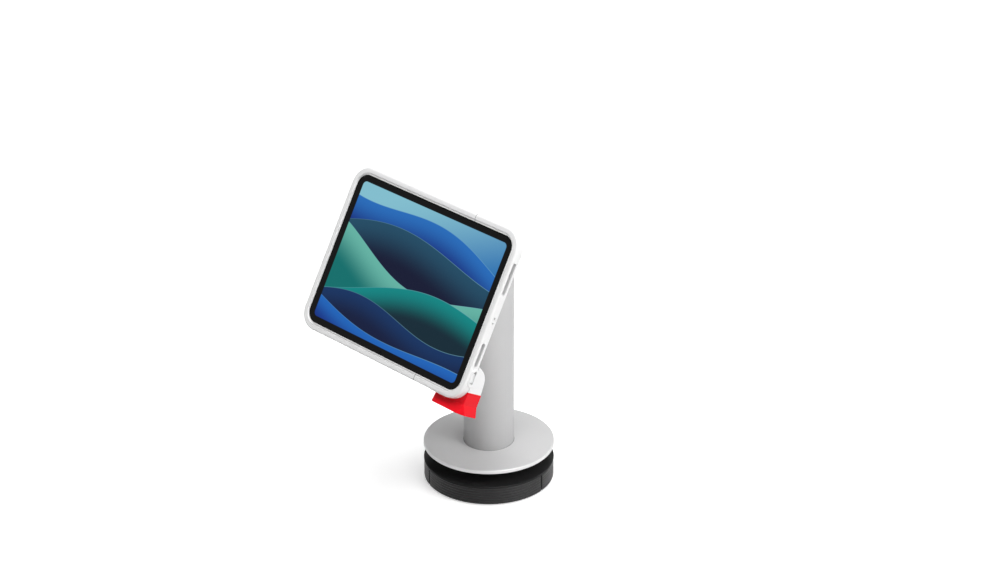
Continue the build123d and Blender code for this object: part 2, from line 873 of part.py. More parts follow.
# Thin washer that the head turns against
with BuildPart() as turn_washer:
    with BuildSketch(face_plane.offset(-flange_front)):
        Circle(hub_radius)
        Circle(turn_spigot_radius, mode=Mode.SUBTRACT)
    extrude(amount=turn_washer_thickness)
save(turn_washer.part, "turn_washer")

# Spring clip that keeps the head on the spigot
clip_inner = turn_spigot_radius - clip_seat_depth
with BuildPart() as turn_clip:
    with BuildSketch(face_plane.offset(-clip_back)):
        Circle(turn_spigot_radius + clip_width)
        Circle(clip_inner, mode=Mode.SUBTRACT)
        Rectangle(
            clip_inner,
            2 * turn_spigot_radius + 2 * clip_width,
            align=(Align.CENTER, Align.MAX),
            mode=Mode.SUBTRACT,
        )
    extrude(amount=clip_thickness)
save(turn_clip.part, "turn_clip")

post_angles = (30, 150, 270)
post_spots = [
    (post_circle * math.cos(math.radians(a)), post_circle * math.sin(math.radians(a)))
    for a in post_angles
]
hub_back = flange_front - turn_washer_thickness - running_clearance

# Head dish with its hub and screw posts
with BuildPart() as head_dish:
    with BuildSketch(face_plane.offset(-dish_back)):
        Circle(dish_radius)
    extrude(amount=dish_back - dish_front)
    fillet(head_dish.edges().group_by(face_axis)[0], dish_edge_radius)
    with BuildSketch(face_plane.offset(-(dish_back - dish_floor))):
        Circle(dish_radius - dish_rim)
    extrude(amount=dish_back, mode=Mode.SUBTRACT)
    with BuildSketch(face_plane.offset(-hub_back)):
        Circle(hub_radius)
    extrude(amount=hub_back - dish_back)
    with BuildSketch(face_plane.offset(-(dish_back - dish_floor))):
        with Locations(post_spots):
            Circle(post_radius)
    extrude(amount=dish_back - dish_floor - face_back)
    with BuildSketch(face_plane.offset(-face_back)):
        with Locations(post_spots):
            Circle(face_screw_radius)
    extrude(amount=-(face_screw_length - face_back + face_front), mode=Mode.SUBTRACT)
    with BuildSketch(face_plane.offset(-hub_back)):
        Circle(turn_spigot_radius + running_clearance)
    extrude(amount=hub_back, mode=Mode.SUBTRACT)
save(head_dish.part, "head_dish")

face_rotation = 360 / magnet_count
magnet_spots = [
    (
        magnet_circle * math.cos(math.radians(face_rotation * i)),
        magnet_circle * math.sin(math.radians(face_rotation * i)),
    )
    for i in range(magnet_count)
]

# Head face with the square locating key, magnet pockets and the contact opening
with BuildPart() as head_face:
    with BuildSketch(face_plane.offset(-face_back)):
        Circle(dish_radius - dish_rim - slip_clearance)
    extrude(amount=face_back - face_front)
    with BuildSketch(face_plane.offset(-face_front)):
        RectangleRounded(key_size, key_size, key_corner_radius)
    extrude(amount=key_height)
    chamfer(head_face.edges().group_by(face_axis)[-1], key_height / 3)
    with BuildSketch(face_plane.offset(-face_back)):
        with Locations(magnet_spots):
            Circle(magnet_radius + slip_clearance)
    extrude(amount=magnet_thickness + slip_clearance, mode=Mode.SUBTRACT)
    with BuildSketch(face_plane.offset(-face_back)):
        with Locations((0, contact_offset)):
            Rectangle(contact_length + 2 * slip_clearance, contact_height + 2 * slip_clearance)
    extrude(amount=face_back - face_front, mode=Mode.SUBTRACT)
    with Locations(face_plane.offset(-face_front)):
        with Locations(post_spots):
            CounterSinkHole(
                face_screw_radius,
                face_screw_head_radius + slip_clearance,
                face_back - face_front,
            )
save(head_face.part, "head_face")

# Countersunk screws of the head face
with BuildPart() as face_screws:
    head_rise = face_screw_head_radius - face_screw_radius
    for spot in post_spots:
        with BuildSketch(face_plane.offset(-face_front)):
            with Locations(spot):
                Circle(face_screw_radius)
        extrude(amount=-face_screw_length)
        with BuildSketch(face_plane.offset(-face_front)):
            with Locations(spot):
                Circle(face_screw_head_radius)
        extrude(amount=-head_rise, taper=45)
save(face_screws.part, "face_screws")

# Magnets in the head face
with BuildPart() as head_magnets:
    with BuildSketch(face_plane.offset(-face_back)):
        with Locations(magnet_spots):
            Circle(magnet_radius)
    extrude(amount=magnet_thickness)
save(head_magnets.part, "head_magnets")

contact_spots = [
    (contact_pin_pitch * (i - (contact_pin_count - 1) / 2), contact_offset)
    for i in range(contact_pin_count)
]

# Insulating contact block
with BuildPart() as contact_block:
    with BuildSketch(face_plane.offset(-face_back)):
        with Locations((0, contact_offset)):
            Rectangle(contact_length + 2, contact_height + 2)
    extrude(amount=-contact_flange)
    with BuildSketch(face_plane.offset(-face_back)):
        with Locations((0, contact_offset)):
            Rectangle(contact_length, contact_height)
    extrude(amount=face_back - face_front)
    with BuildSketch(face_plane.offset(-face_back)):
        with Locations(contact_spots):
            Circle(contact_pin_radius)
    extrude(amount=face_back, mode=Mode.SUBTRACT)
save(contact_block.part, "contact_block")

# Contact pins
with BuildPart() as contact_pins:
    with BuildSketch(face_plane.offset(-face_back)):
        with Locations(contact_spots):
            Circle(contact_pin_radius)
    extrude(amount=face_back - face_front + contact_pin_reach)
save(contact_pins.part, "contact_pins")


def case_form():
    # Outer form of the closed case with the tablet's pocket and the seat of the front lip
    with BuildPart() as form:
        with BuildSketch(face_plane.offset(-case_back)):
            RectangleRounded(case_width, case_height, case_corner_radius)
        extrude(amount=case_back + case_crest)
        fillet(form.edges().group_by(face_axis)[-1], case_front_radius)
        fillet(form.edges().group_by(face_axis)[0], case_back_radius)
        with BuildSketch(face_plane.offset(-tablet_thickness - pocket_clearance)):
            with Locations((pocket_shift, 0)):
                RectangleRounded(
                    pocket_width,
                    tablet_height + 2 * pocket_clearance,
                    tablet_corner_radius + pocket_clearance,
                )
        extrude(amount=tablet_thickness + pocket_clearance + case_crest + 1, mode=Mode.SUBTRACT)
        with BuildSketch(face_plane.offset(lip_gap)):
            RectangleRounded(
                tablet_width + 2 * lip_seat,
                tablet_height + 2 * lip_seat,
                tablet_corner_radius + lip_seat,
            )
        extrude(amount=case_crest + 1, mode=Mode.SUBTRACT)
    return form.part


def lip_form():
    # Whole front lip: a strip over the edge of the glass, a groove, and a slope up to the rim
    slope_rise = case_crest - groove_floor
    slope_run = lip_seat - lip_groove_edge
    with BuildPart() as lip:
        with BuildSketch(face_plane.offset(lip_gap)):
            RectangleRounded(
                tablet_width + 2 * lip_seat,
                tablet_height + 2 * lip_seat,
                tablet_corner_radius + lip_seat,
            )
        extrude(amount=case_crest - lip_gap)
        with BuildSketch(face_plane.offset(groove_floor)):
            RectangleRounded(
                tablet_width + 2 * lip_groove_edge,
                tablet_height + 2 * lip_groove_edge,
                tablet_corner_radius + lip_groove_edge,
            )
        extrude(
            amount=slope_rise,
            taper=-math.degrees(math.atan2(slope_run, slope_rise)),
            mode=Mode.SUBTRACT,
        )
        with BuildSketch(face_plane.offset(groove_floor)):
            RectangleRounded(
                tablet_width - 2 * lip_strip_edge,
                tablet_height - 2 * lip_strip_edge,
                tablet_corner_radius - lip_strip_edge,
            )
        extrude(amount=lip_top - groove_floor)
        with BuildSketch(face_plane):
            RectangleRounded(window_width, window_height, window_corner_radius)
        extrude(amount=case_crest, mode=Mode.SUBTRACT)
    return lip.part


def sleeve_form(clearance):
    # Envelope of the main shell's sleeve, which the end cap slides over
    with BuildPart() as sleeve:
        with BuildSketch(face_plane.offset(-case_back + sleeve_back_inset - clearance)):
            with Locations((seam_x - sleeve_length, 0)):
                Rectangle(
                    2 * sleeve_length + clearance,
                    case_height - 2 * sleeve_inset + 2 * clearance,
                    align=(Align.MIN, Align.CENTER),
                )
        extrude(amount=case_back - sleeve_back_inset - sleeve_front_drop + 2 * clearance)
        with BuildSketch(face_plane.offset(-tablet_thickness - pocket_clearance)):
            RectangleRounded(
                tablet_width + 2 * pocket_clearance,
                tablet_height + 2 * pocket_clearance,
                tablet_corner_radius + pocket_clearance,
            )
        extrude(amount=tablet_thickness + case_back, mode=Mode.SUBTRACT)
    return sleeve.part


seam_plane = side_plane(seam_x)
flex_floor = tablet_thickness + pocket_clearance

# Main case shell, left of the seam, with the sleeve, the head's recesses and the plug pocket
with BuildPart() as case_shell:
    add(case_form())
    split(bisect_by=seam_plane.offset(-seam_gap / 2), keep=Keep.BOTTOM)
    add(sleeve_form(0))
    with BuildSketch(face_plane.offset(-case_back)):
        RectangleRounded(
            key_size + 2 * key_clearance,
            key_size + 2 * key_clearance,
            key_corner_radius + key_clearance,
        )
    extrude(amount=key_recess_depth, mode=Mode.SUBTRACT)
    with BuildSketch(face_plane.offset(-case_back)):
        Circle(keeper_outer_radius + slip_clearance)
        Circle(keeper_inner_radius - slip_clearance, mode=Mode.SUBTRACT)
    extrude(amount=keeper_thickness, mode=Mode.SUBTRACT)
    with BuildSketch(face_plane.offset(-case_back)):
        with Locations((0, contact_offset)):
            Rectangle(contact_length + 2 * slip_clearance, contact_height + 2 * slip_clearance)
    extrude(amount=case_back - flex_floor, mode=Mode.SUBTRACT)
    with BuildSketch(face_plane.offset(-flex_floor)):
        with Locations((-tablet_width / 2, 0)):
            Rectangle(
                tablet_width / 2 + flex_width / 2 + slip_clearance,
                flex_width + 2 * slip_clearance,
                align=(Align.MIN, Align.CENTER),
            )
        with Locations((0, -flex_width / 2)):
            Rectangle(
                flex_width + 2 * slip_clearance,
                contact_offset + contact_height / 2 + flex_width / 2,
                align=(Align.CENTER, Align.MIN),
            )
    extrude(amount=-(flex_thickness + slip_clearance), mode=Mode.SUBTRACT)
    with BuildSketch(side_plane(-tablet_width / 2)):
        with Locations((0, -port_level)):
            Rectangle(plug_body_width + 2 * slip_clearance, plug_body_height + 2 * slip_clearance)
    extrude(amount=-(pocket_clearance + plug_body_depth + slip_clearance), mode=Mode.SUBTRACT)
    with BuildSketch(side_plane(-case_width / 2)):
        with Locations(((relief_low + relief_high) / 2, 0)):
            Rectangle(relief_high - relief_low, 4 * case_back)
    extrude(amount=relief_depth, mode=Mode.SUBTRACT)
save(case_shell.part, "case_shell")

cap_side = case_width / 2
pocket_side = tablet_width / 2 + pocket_clearance

# End cap, right of the seam, with its side openings, key collar and camera opening
with BuildPart() as case_end:
    add(case_form())
    split(bisect_by=seam_plane.offset(seam_gap / 2), keep=Keep.TOP)
    with BuildSketch(face_plane.offset(-thumb_rib_high)):
        with Locations((thumb_rib_start, -case_height / 2 - thumb_rib_depth)):
            Rectangle(
                cap_side - case_corner_radius - thumb_rib_start,
                2 * thumb_rib_depth,
                align=(Align.MIN, Align.MIN),
            )
    extrude(amount=thumb_rib_high - thumb_rib_low)
    with BuildSketch(side_plane(cap_side)):
        with Locations((collar_centre, -collar_depth)):
            SlotOverall(collar_length, collar_width)
    extrude(amount=collar_rise)
    fillet(case_end.edges().group_by(Axis.X)[-1], collar_edge_radius)
    with BuildSketch(side_plane(tablet_width / 2)):
        with Locations(((slot_a_low + slot_a_high) / 2, -slot_depth_centre)):
            SlotOverall(slot_a_high - slot_a_low, slot_width)
        with Locations(((slot_b_low + slot_b_high) / 2, -slot_depth_centre)):
            SlotOverall(slot_b_high - slot_b_low, slot_width)
        with Locations([(v, -mic_depth) for v in mic_heights]):
            Circle(mic_radius)
        with Locations((collar_centre, -collar_depth)):
            SlotOverall(key_slot_length, key_slot_width)
    extrude(amount=cap_side + collar_rise - tablet_width / 2, mode=Mode.SUBTRACT)
    with BuildSketch(side_plane(tablet_width / 2)):
        with Locations((collar_centre, -(foot_front_depth + foot_back_depth) / 2)):
            Rectangle(
                key_slot_length + 1,
                foot_back_depth - foot_front_depth + 2 * slip_clearance,
            )
        with Locations((collar_centre, -button_depth)):
            Rectangle(button_length + 2 * swing_clearance, button_width + 2 * swing_clearance)
    extrude(amount=foot_cavity_depth, mode=Mode.SUBTRACT)
    with BuildSketch(face_plane.offset(-case_back)):
        with Locations((rear_camera_x, rear_camera_y)):
            Circle(camera_hole_radius)
    extrude(amount=case_back - tablet_thickness, mode=Mode.SUBTRACT)
    with BuildSketch(face_plane.offset(-camera_channel_depth)):
        with Locations((rear_camera_x, rear_camera_y)):
            Rectangle(
                rear_camera_x - seam_x + 1,
                2 * camera_hole_radius,
                align=(Align.MAX, Align.CENTER),
            )
    extrude(amount=camera_channel_depth - tablet_thickness, mode=Mode.SUBTRACT)
    add(sleeve_form(slip_clearance), mode=Mode.SUBTRACT)
    with Locations(face_plane.offset(-flex_floor)):
        with Locations(
            (hood_left + hood_screw_inset, hood_screw_height),
            (hood_right - hood_screw_inset, hood_screw_height),
        ):
            CounterSinkHole(
                hood_screw_radius,
                hood_screw_head_radius + slip_clearance,
                case_back - flex_floor,
            )
save(case_end.part, "case_end")

# Front lip of the main shell
with BuildPart() as shell_lip:
    add(lip_form())
    split(bisect_by=seam_plane.offset(-seam_gap / 2), keep=Keep.BOTTOM)
save(shell_lip.part, "shell_lip")

# Front lip of the end cap
with BuildPart() as end_lip:
    add(lip_form())
    split(bisect_by=seam_plane.offset(seam_gap / 2), keep=Keep.TOP)
save(end_lip.part, "end_lip")

# Steel keeper ring that the head's magnets hold
with BuildPart() as keeper_ring:
    with BuildSketch(face_plane.offset(-case_back)):
        Circle(keeper_outer_radius)
        Circle(keeper_inner_radius, mode=Mode.SUBTRACT)
    extrude(amount=keeper_thickness)
save(keeper_ring.part, "keeper_ring")

# Carrier of the contact pads
with BuildPart() as pad_carrier:
    with BuildSketch(face_plane.offset(-case_back + pad_recess)):
        with Locations((0, contact_offset)):
            Rectangle(contact_length, contact_height)
    extrude(amount=case_back - pad_recess - flex_floor - flex_thickness - slip_clearance)
    with BuildSketch(face_plane.offset(-case_back + pad_recess)):
        with Locations(contact_spots):
            Rectangle(pad_length, pad_height)
    extrude(amount=pad_thickness, mode=Mode.SUBTRACT)
save(pad_carrier.part, "pad_carrier")

# Contact pads in the back of the case
with BuildPart() as contact_pads:
    with BuildSketch(face_plane.offset(-case_back + pad_recess)):
        with Locations(contact_spots):
            Rectangle(pad_length, pad_height)
    extrude(amount=pad_thickness)
save(contact_pads.part, "contact_pads")

# Flat lead from the plug to the pads
with BuildPart() as flex_lead:
    with BuildSketch(face_plane.offset(-flex_floor - slip_clearance / 2)):
        with Locations((-tablet_width / 2, 0)):
            Rectangle(
                tablet_width / 2 + flex_width / 2,
                flex_width,
                align=(Align.MIN, Align.CENTER),
            )
        with Locations((0, -flex_width / 2)):
            Rectangle(
                flex_width,
                contact_offset + contact_height / 2 + flex_width / 2,
                align=(Align.CENTER, Align.MIN),
            )
    extrude(amount=-flex_thickness)
save(flex_lead.part, "flex_lead")

# Dock plug in the left wall, with its tongue in the tablet's port
with BuildPart() as dock_plug:
    with BuildSketch(side_plane(-pocket_side)):
        with Locations((0, -port_level)):
            Rectangle(plug_body_width, plug_body_height)
    extrude(amount=-plug_body_depth)
    with BuildSketch(side_plane(-pocket_side)):
        with Locations((0, -port_level)):
            SlotOverall(plug_tongue_width, plug_tongue_height)
    extrude(amount=pocket_clearance + plug_tongue_length)
save(dock_plug.part, "dock_plug")

# Tablet body with its display recess, port, camera bores and button pocket
with BuildPart() as tablet_body:
    with BuildSketch(face_plane.offset(-tablet_thickness)):
        RectangleRounded(tablet_width, tablet_height, tablet_corner_radius)
    extrude(amount=tablet_thickness - glass_thickness)
    fillet(tablet_body.edges().group_by(face_axis)[0], tablet_edge_radius)
    with BuildSketch(face_plane.offset(-glass_thickness)):
        RectangleRounded(display_width, display_height, display_corner_radius)
    extrude(amount=-display_thickness, mode=Mode.SUBTRACT)
    with BuildSketch(face_plane.offset(-glass_thickness)):
        with Locations((0, -front_camera_offset)):
            Circle(front_camera_radius)
    extrude(amount=-front_camera_depth, mode=Mode.SUBTRACT)
    with BuildSketch(side_plane(-tablet_width / 2)):
        with Locations((0, -port_level)):
            SlotOverall(port_width, port_height)
    extrude(amount=port_depth, mode=Mode.SUBTRACT)
    with BuildSketch(side_plane(tablet_width / 2)):
        with Locations((collar_centre, -button_depth)):
            SlotOverall(button_length + 2 * slip_clearance, button_width + 2 * slip_clearance)
    extrude(amount=-button_pocket, mode=Mode.SUBTRACT)
save(tablet_body.part, "tablet_body")

# Cover glass
with BuildPart() as cover_glass:
    with BuildSketch(face_plane.offset(-glass_thickness)):
        RectangleRounded(
            tablet_width - 2 * glass_margin,
            tablet_height - 2 * glass_margin,
            tablet_corner_radius - glass_margin,
        )
    extrude(amount=glass_thickness)
save(cover_glass.part, "cover_glass")

# Display panel under the glass
with BuildPart() as display_panel:
    with BuildSketch(face_plane.offset(-glass_thickness - display_thickness)):
        RectangleRounded(display_width, display_height, display_corner_radius)
    extrude(amount=display_thickness)
save(display_panel.part, "display_panel")

# Front camera behind the lower border
with BuildPart() as front_camera:
    with BuildSketch(face_plane.offset(-glass_thickness - front_camera_depth)):
        with Locations((0, -front_camera_offset)):
            Circle(front_camera_radius)
    extrude(amount=front_camera_depth)
save(front_camera.part, "front_camera")

# Rear camera bump with its lens recess
with BuildPart() as rear_camera:
    with BuildSketch(face_plane.offset(-tablet_thickness)):
        with Locations((rear_camera_x, rear_camera_y)):
            Circle(rear_camera_radius)
    extrude(amount=-rear_camera_height)
    with BuildSketch(face_plane.offset(-tablet_thickness - rear_camera_height)):
        with Locations((rear_camera_x, rear_camera_y)):
            Circle(rear_lens_radius)
    extrude(amount=rear_camera_height, mode=Mode.SUBTRACT)
save(rear_camera.part, "rear_camera")

# Lens of the rear camera
with BuildPart() as rear_lens:
    with BuildSketch(face_plane.offset(-tablet_thickness)):
        with Locations((rear_camera_x, rear_camera_y)):
            Circle(rear_lens_radius)
    extrude(amount=-(rear_camera_height - rear_lens_recess))
save(rear_lens.part, "rear_lens")

# The tablet's own power button
with BuildPart() as power_button:
    with BuildSketch(side_plane(tablet_width / 2 + button_proud)):
        with Locations((collar_centre, -button_depth)):
            SlotOverall(button_length, button_width)
    extrude(amount=-button_body)
save(power_button.part, "power_button")

# Power key in the end cap: a blade in the collar and a foot that reaches the button
key_tip = tablet_width / 2 + key_reach
with BuildPart() as power_key:
    with BuildSketch(side_plane(key_tip)):
        with Locations((collar_centre, -(foot_front_depth + foot_back_depth) / 2)):
            Rectangle(foot_length, foot_back_depth - foot_front_depth)
    extrude(amount=foot_plate_thickness)
    with BuildSketch(side_plane(key_tip)):
        with Locations((collar_centre, -collar_depth)):
            SlotOverall(blade_length, blade_width)
    extrude(amount=cap_side + blade_rise - key_tip)
    with BuildSketch(side_plane(cap_side + blade_rise)):
        for i in range(blade_groove_count):
            step = (i - (blade_groove_count - 1) / 2) * blade_groove_pitch
            with Locations((collar_centre + step, -collar_depth)):
                Rectangle(blade_groove_width, 3 * blade_width, rotation=blade_groove_angle)
    extrude(amount=-blade_groove_depth, mode=Mode.SUBTRACT)
save(power_key.part, "power_key")

hood_centre = (hood_left + hood_right) / 2
hood_screw_spots = [
    (hood_left + hood_screw_inset, hood_screw_height),
    (hood_right - hood_screw_inset, hood_screw_height),
]
cavity_front = case_back + housing_wall
mirror_top = mirror_offset - cavity_front
mirror_low_depth = mirror_offset - mirror_low
mirror_length = (mirror_top - mirror_low) * math.sqrt(2)
mirror_plane = Plane(
    origin=face_plane.from_local_coords(
        (hood_centre, (mirror_top + mirror_low) / 2, -(cavity_front + mirror_low_depth) / 2)
    ),
    x_dir=face_plane.x_dir,
    z_dir=face_plane.z_dir - face_plane.y_dir,
)


def case_envelope():
    # The case's outline with a small gap, cut from what wraps round its corner
    with BuildPart() as envelope:
        with BuildSketch(face_plane.offset(-case_back)):
            RectangleRounded(
                case_width + 2 * hood_joint_gap,
                case_height + 2 * hood_joint_gap,
                case_corner_radius + hood_joint_gap,
            )
        extrude(amount=2 * case_back)
    return envelope.part


# White housing that holds the mirror behind the rear camera
with BuildPart() as hood_housing:
    slope = (housing_top - housing_shoulder) / (housing_shoulder_depth - case_back)
    with BuildSketch(side_plane(hood_left)):
        with BuildLine():
            Polyline(
                (housing_top + slope * (case_back - hood_front), -hood_front),
                (housing_shoulder, -housing_shoulder_depth),
                (housing_bottom, -hood_back),
                (housing_bottom, -hood_front),
                close=True,
            )
        make_face()
    extrude(amount=hood_width)
    shoulder_edge = hood_housing.edges().filter_by(Axis.X).sort_by(Axis.Y)[-1]
    fillet(shoulder_edge, housing_shoulder_radius)
    end_edges = hood_housing.edges().group_by(Axis.X)
    upper_edges = [
        edge
        for edge in end_edges[0] + end_edges[-1]
        if face_plane.to_local_coords(edge.center()).Y > housing_bottom + 0.5
        and face_plane.to_local_coords(edge.center()).Z < -case_back
    ]
    fillet(upper_edges, housing_edge_radius)
    add(case_envelope(), mode=Mode.SUBTRACT)
    with BuildSketch(side_plane(hood_left + housing_wall)):
        with BuildLine():
            Polyline(
                (mirror_top, -cavity_front),
                (mirror_low, -mirror_low_depth),
                (housing_bottom, -hood_back + housing_wall),
                (housing_bottom, -cavity_front),
                close=True,
            )
        make_face()
    extrude(amount=hood_width - 2 * housing_wall, mode=Mode.SUBTRACT)
    with BuildSketch(mirror_plane):
        Rectangle(hood_width - 2 * housing_wall, mirror_length)
    extrude(amount=-mirror_thickness, mode=Mode.SUBTRACT)
    with BuildSketch(face_plane.offset(-case_back)):
        with Locations((rear_camera_x, rear_camera_y)):
            Circle(camera_hole_radius)
    extrude(amount=-housing_wall, mode=Mode.SUBTRACT)
    with BuildSketch(face_plane.offset(-case_back)):
        with Locations(hood_screw_spots):
            Circle(hood_screw_radius)
    extrude(amount=-(flex_floor + hood_screw_length - case_back), mode=Mode.SUBTRACT)
save(hood_housing.part, "hood_housing")

# Mirror that turns the rear camera's view down into the hood
with BuildPart() as hood_mirror:
    with BuildSketch(mirror_plane):
        Rectangle(hood_width - 2 * housing_wall - 2 * slip_clearance, mirror_length)
    extrude(amount=-mirror_thickness)
save(hood_mirror.part, "hood_mirror")

# Screws from inside the end cap into the housing
with BuildPart() as hood_screws:
    for spot in hood_screw_spots:
        with BuildSketch(face_plane.offset(-flex_floor)):
            with Locations(spot):
                Circle(hood_screw_radius)
        extrude(amount=-hood_screw_length)
        with BuildSketch(face_plane.offset(-flex_floor)):
            with Locations(spot):
                Circle(hood_screw_head_radius)
        extrude(amount=-(hood_screw_head_radius - hood_screw_radius), taper=45)
save(hood_screws.part, "hood_screws")


def hood_corners(side_grow, front, back, corner, wall):
    # Six corners of the hood's cross-section, inset by a wall thickness
    left = hood_left - side_grow + wall
    right = hood_right + side_grow - wall
    near = -(front + wall)
    far = -(back - wall)
    return [
        (far, left),
        (far, right),
        (near - corner, right),
        (near, right - corner),
        (near, left + corner),
        (near - corner, left),
    ]


ring_inset = housing_wall + slip_clearance
ring_inner_inset = ring_inset + collar_ring_wall
ring_front = case_back + ring_inset

mouth_front = hood_front - flare_front_spread

# Red hood: a neck behind the case and a flared mouth below it
with BuildPart() as scan_hood:
    with BuildSketch(edge_plane(flare_fold)):
        with BuildLine():
            Polyline(*hood_corners(0, hood_front, hood_back, fold_corner, 0), close=True)
        make_face()
    extrude(amount=housing_bottom - flare_fold)
    with BuildSketch(edge_plane(flare_fold)):
        with BuildLine():
            Polyline(*hood_corners(0, hood_front, hood_back, fold_corner, 0), close=True)
        make_face()
    with BuildSketch(edge_plane(flare_bottom)):
        with BuildLine():
            Polyline(
                *hood_corners(flare_spread, mouth_front, hood_back, flare_corner, 0),
                close=True,
            )
        make_face()
    loft()
    with BuildSketch(edge_plane(flare_fold)):
        with BuildLine():
            Polyline(
                *hood_corners(0, hood_front, hood_back, fold_corner, flare_wall),
                close=True,
            )
        make_face()
    with BuildSketch(edge_plane(flare_bottom)):
        with BuildLine():
            Polyline(
                *hood_corners(flare_spread, mouth_front, hood_back, flare_corner, flare_wall),
                close=True,
            )
        make_face()
    loft(mode=Mode.SUBTRACT)
    with BuildSketch(edge_plane(housing_bottom)):
        with Locations((-(ring_front + collar_ring_back) / 2, hood_centre)):
            Rectangle(collar_ring_back - ring_front, hood_width - 2 * ring_inset)
    extrude(amount=collar_ring_height)
    with BuildSketch(edge_plane(housing_bottom + collar_ring_height)):
        with Locations((-(ring_front + collar_ring_back) / 2, hood_centre)):
            Rectangle(
                collar_ring_back - ring_front - 2 * collar_ring_wall,
                hood_width - 2 * ring_inner_inset,
            )
    extrude(amount=-(housing_bottom + collar_ring_height - flare_fold), mode=Mode.SUBTRACT)
    add(case_envelope(), mode=Mode.SUBTRACT)
save(scan_hood.part, "scan_hood")
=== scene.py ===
import json
import math

import bmesh
import bpy
import numpy as np
from mathutils import Matrix, Vector


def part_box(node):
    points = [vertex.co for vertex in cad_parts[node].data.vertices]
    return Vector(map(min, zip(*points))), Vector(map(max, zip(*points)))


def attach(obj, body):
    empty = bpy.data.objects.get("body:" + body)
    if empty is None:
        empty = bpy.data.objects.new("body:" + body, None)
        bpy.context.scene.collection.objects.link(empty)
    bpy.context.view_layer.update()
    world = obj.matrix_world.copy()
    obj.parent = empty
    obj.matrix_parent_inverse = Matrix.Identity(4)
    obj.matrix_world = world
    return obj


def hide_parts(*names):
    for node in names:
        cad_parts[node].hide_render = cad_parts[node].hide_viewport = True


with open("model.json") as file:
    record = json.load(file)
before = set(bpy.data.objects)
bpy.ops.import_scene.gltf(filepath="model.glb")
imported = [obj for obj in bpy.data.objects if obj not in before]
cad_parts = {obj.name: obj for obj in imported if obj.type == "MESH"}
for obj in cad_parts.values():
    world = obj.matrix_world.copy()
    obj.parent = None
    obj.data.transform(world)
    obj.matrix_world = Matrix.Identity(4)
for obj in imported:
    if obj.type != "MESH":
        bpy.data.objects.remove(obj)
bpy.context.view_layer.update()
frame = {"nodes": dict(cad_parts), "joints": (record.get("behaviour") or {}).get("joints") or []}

nodes = frame["nodes"]
joints = {joint["name"]: joint for joint in frame["joints"]}
print("tablet stand: frame loaded,", len(nodes), "nodes")


# Camera, from a perspective fit to the picture: metres and degrees

viewSettings = {
    "place": (2.11716, -2.03382, 1.69938),
    "azimuth": 45.90,
    "elevation": 26.33,
    "focalPixels": 2927.47,
    "imageWidth": 1000,
    "sensor": 36.0,
    "clip": (0.05, 60),
}


def makeCamera(s):
    data = bpy.data.cameras.new("viewCamera")
    data.sensor_fit = "HORIZONTAL"
    data.sensor_width = s["sensor"]
    data.lens = s["focalPixels"] * s["sensor"] / s["imageWidth"]
    data.clip_start, data.clip_end = s["clip"]
    camera = bpy.data.objects.new("viewCamera", data)
    a, e = math.radians(s["azimuth"]), math.radians(s["elevation"])
    right = Vector((math.cos(a), math.sin(a), 0))
    ahead = Vector((-math.sin(a) * math.cos(e), math.cos(a) * math.cos(e), -math.sin(e)))
    turn = Matrix((right, right.cross(ahead), -ahead)).transposed()
    camera.matrix_world = Matrix.Translation(s["place"]) @ turn.to_4x4()
    bpy.context.scene.collection.objects.link(camera)
    bpy.context.scene.camera = camera


makeCamera(viewSettings)


# Surfaces: a grid of points becomes quads, and several grids can share one piece

mergeBelow = 1e-6  # points nearer than this are one point


def gridFaces(rows, columns, closeRows, closeColumns, start):
    # corner numbers of every quad of a rows-by-columns grid, as one array
    i = np.arange(rows if closeRows else rows - 1)
    j = np.arange(columns if closeColumns else columns - 1)
    a, b = np.meshgrid(i, j, indexing="ij")
    c, d = (a + 1) % rows, (b + 1) % columns
    quads = np.stack([a * columns + b, c * columns + b, c * columns + d, a * columns + d], -1)
    return quads.reshape(-1, 4) + start


def cleanMesh(mesh):
    # joins points that meet at seams and poles, and turns all faces outwards
    work = bmesh.new()
    work.from_mesh(mesh)
    bmesh.ops.remove_doubles(work, verts=work.verts, dist=mergeBelow)
    bmesh.ops.recalc_face_normals(work, faces=work.faces)
    work.to_mesh(mesh)
    work.free()
    mesh.update()


def makePiece(name, grids, body):
    # grids: list of (points[rows, columns, 3], closeRows, closeColumns)
    places, faces, count = [], [], 0
    for points, closeRows, closeColumns in grids:
        rows, columns = points.shape[:2]
        places.append(points.reshape(-1, 3))
        faces.append(gridFaces(rows, columns, closeRows, closeColumns, count))
        count += rows * columns
    vertices, quads = np.concatenate(places), np.concatenate(faces)
    mesh = bpy.data.meshes.new(name)
    mesh.vertices.add(len(vertices))
    mesh.vertices.foreach_set("co", vertices.astype(np.float32).ravel())
    mesh.loops.add(quads.size)
    mesh.loops.foreach_set("vertex_index", quads.astype(np.int32).ravel())
    mesh.polygons.add(len(quads))
    mesh.polygons.foreach_set("loop_start", np.arange(0, quads.size, 4, dtype=np.int32))
    mesh.update(calc_edges=True)
    mesh.validate()
    cleanMesh(mesh)
    mesh.polygons.foreach_set("use_smooth", np.full(len(mesh.polygons), True))
    piece = bpy.data.objects.new(name, mesh)
    bpy.context.scene.collection.objects.link(piece)
    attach(piece, body)
    return piece


# Materials: a short way to write node graphs; every pattern reads Object coordinates in metres

def startMaterial(name):
    material = bpy.data.materials.new(name)
    material.use_nodes = True
    tree = material.node_tree
    tree.nodes.clear()
    output = tree.nodes.new("ShaderNodeOutputMaterial")
    shader = tree.nodes.new("ShaderNodeBsdfPrincipled")
    tree.links.new(shader.outputs["BSDF"], output.inputs["Surface"])
    return material, tree, shader


def findNode(tree, kind):
    return [node for node in tree.nodes if node.type == kind][0]


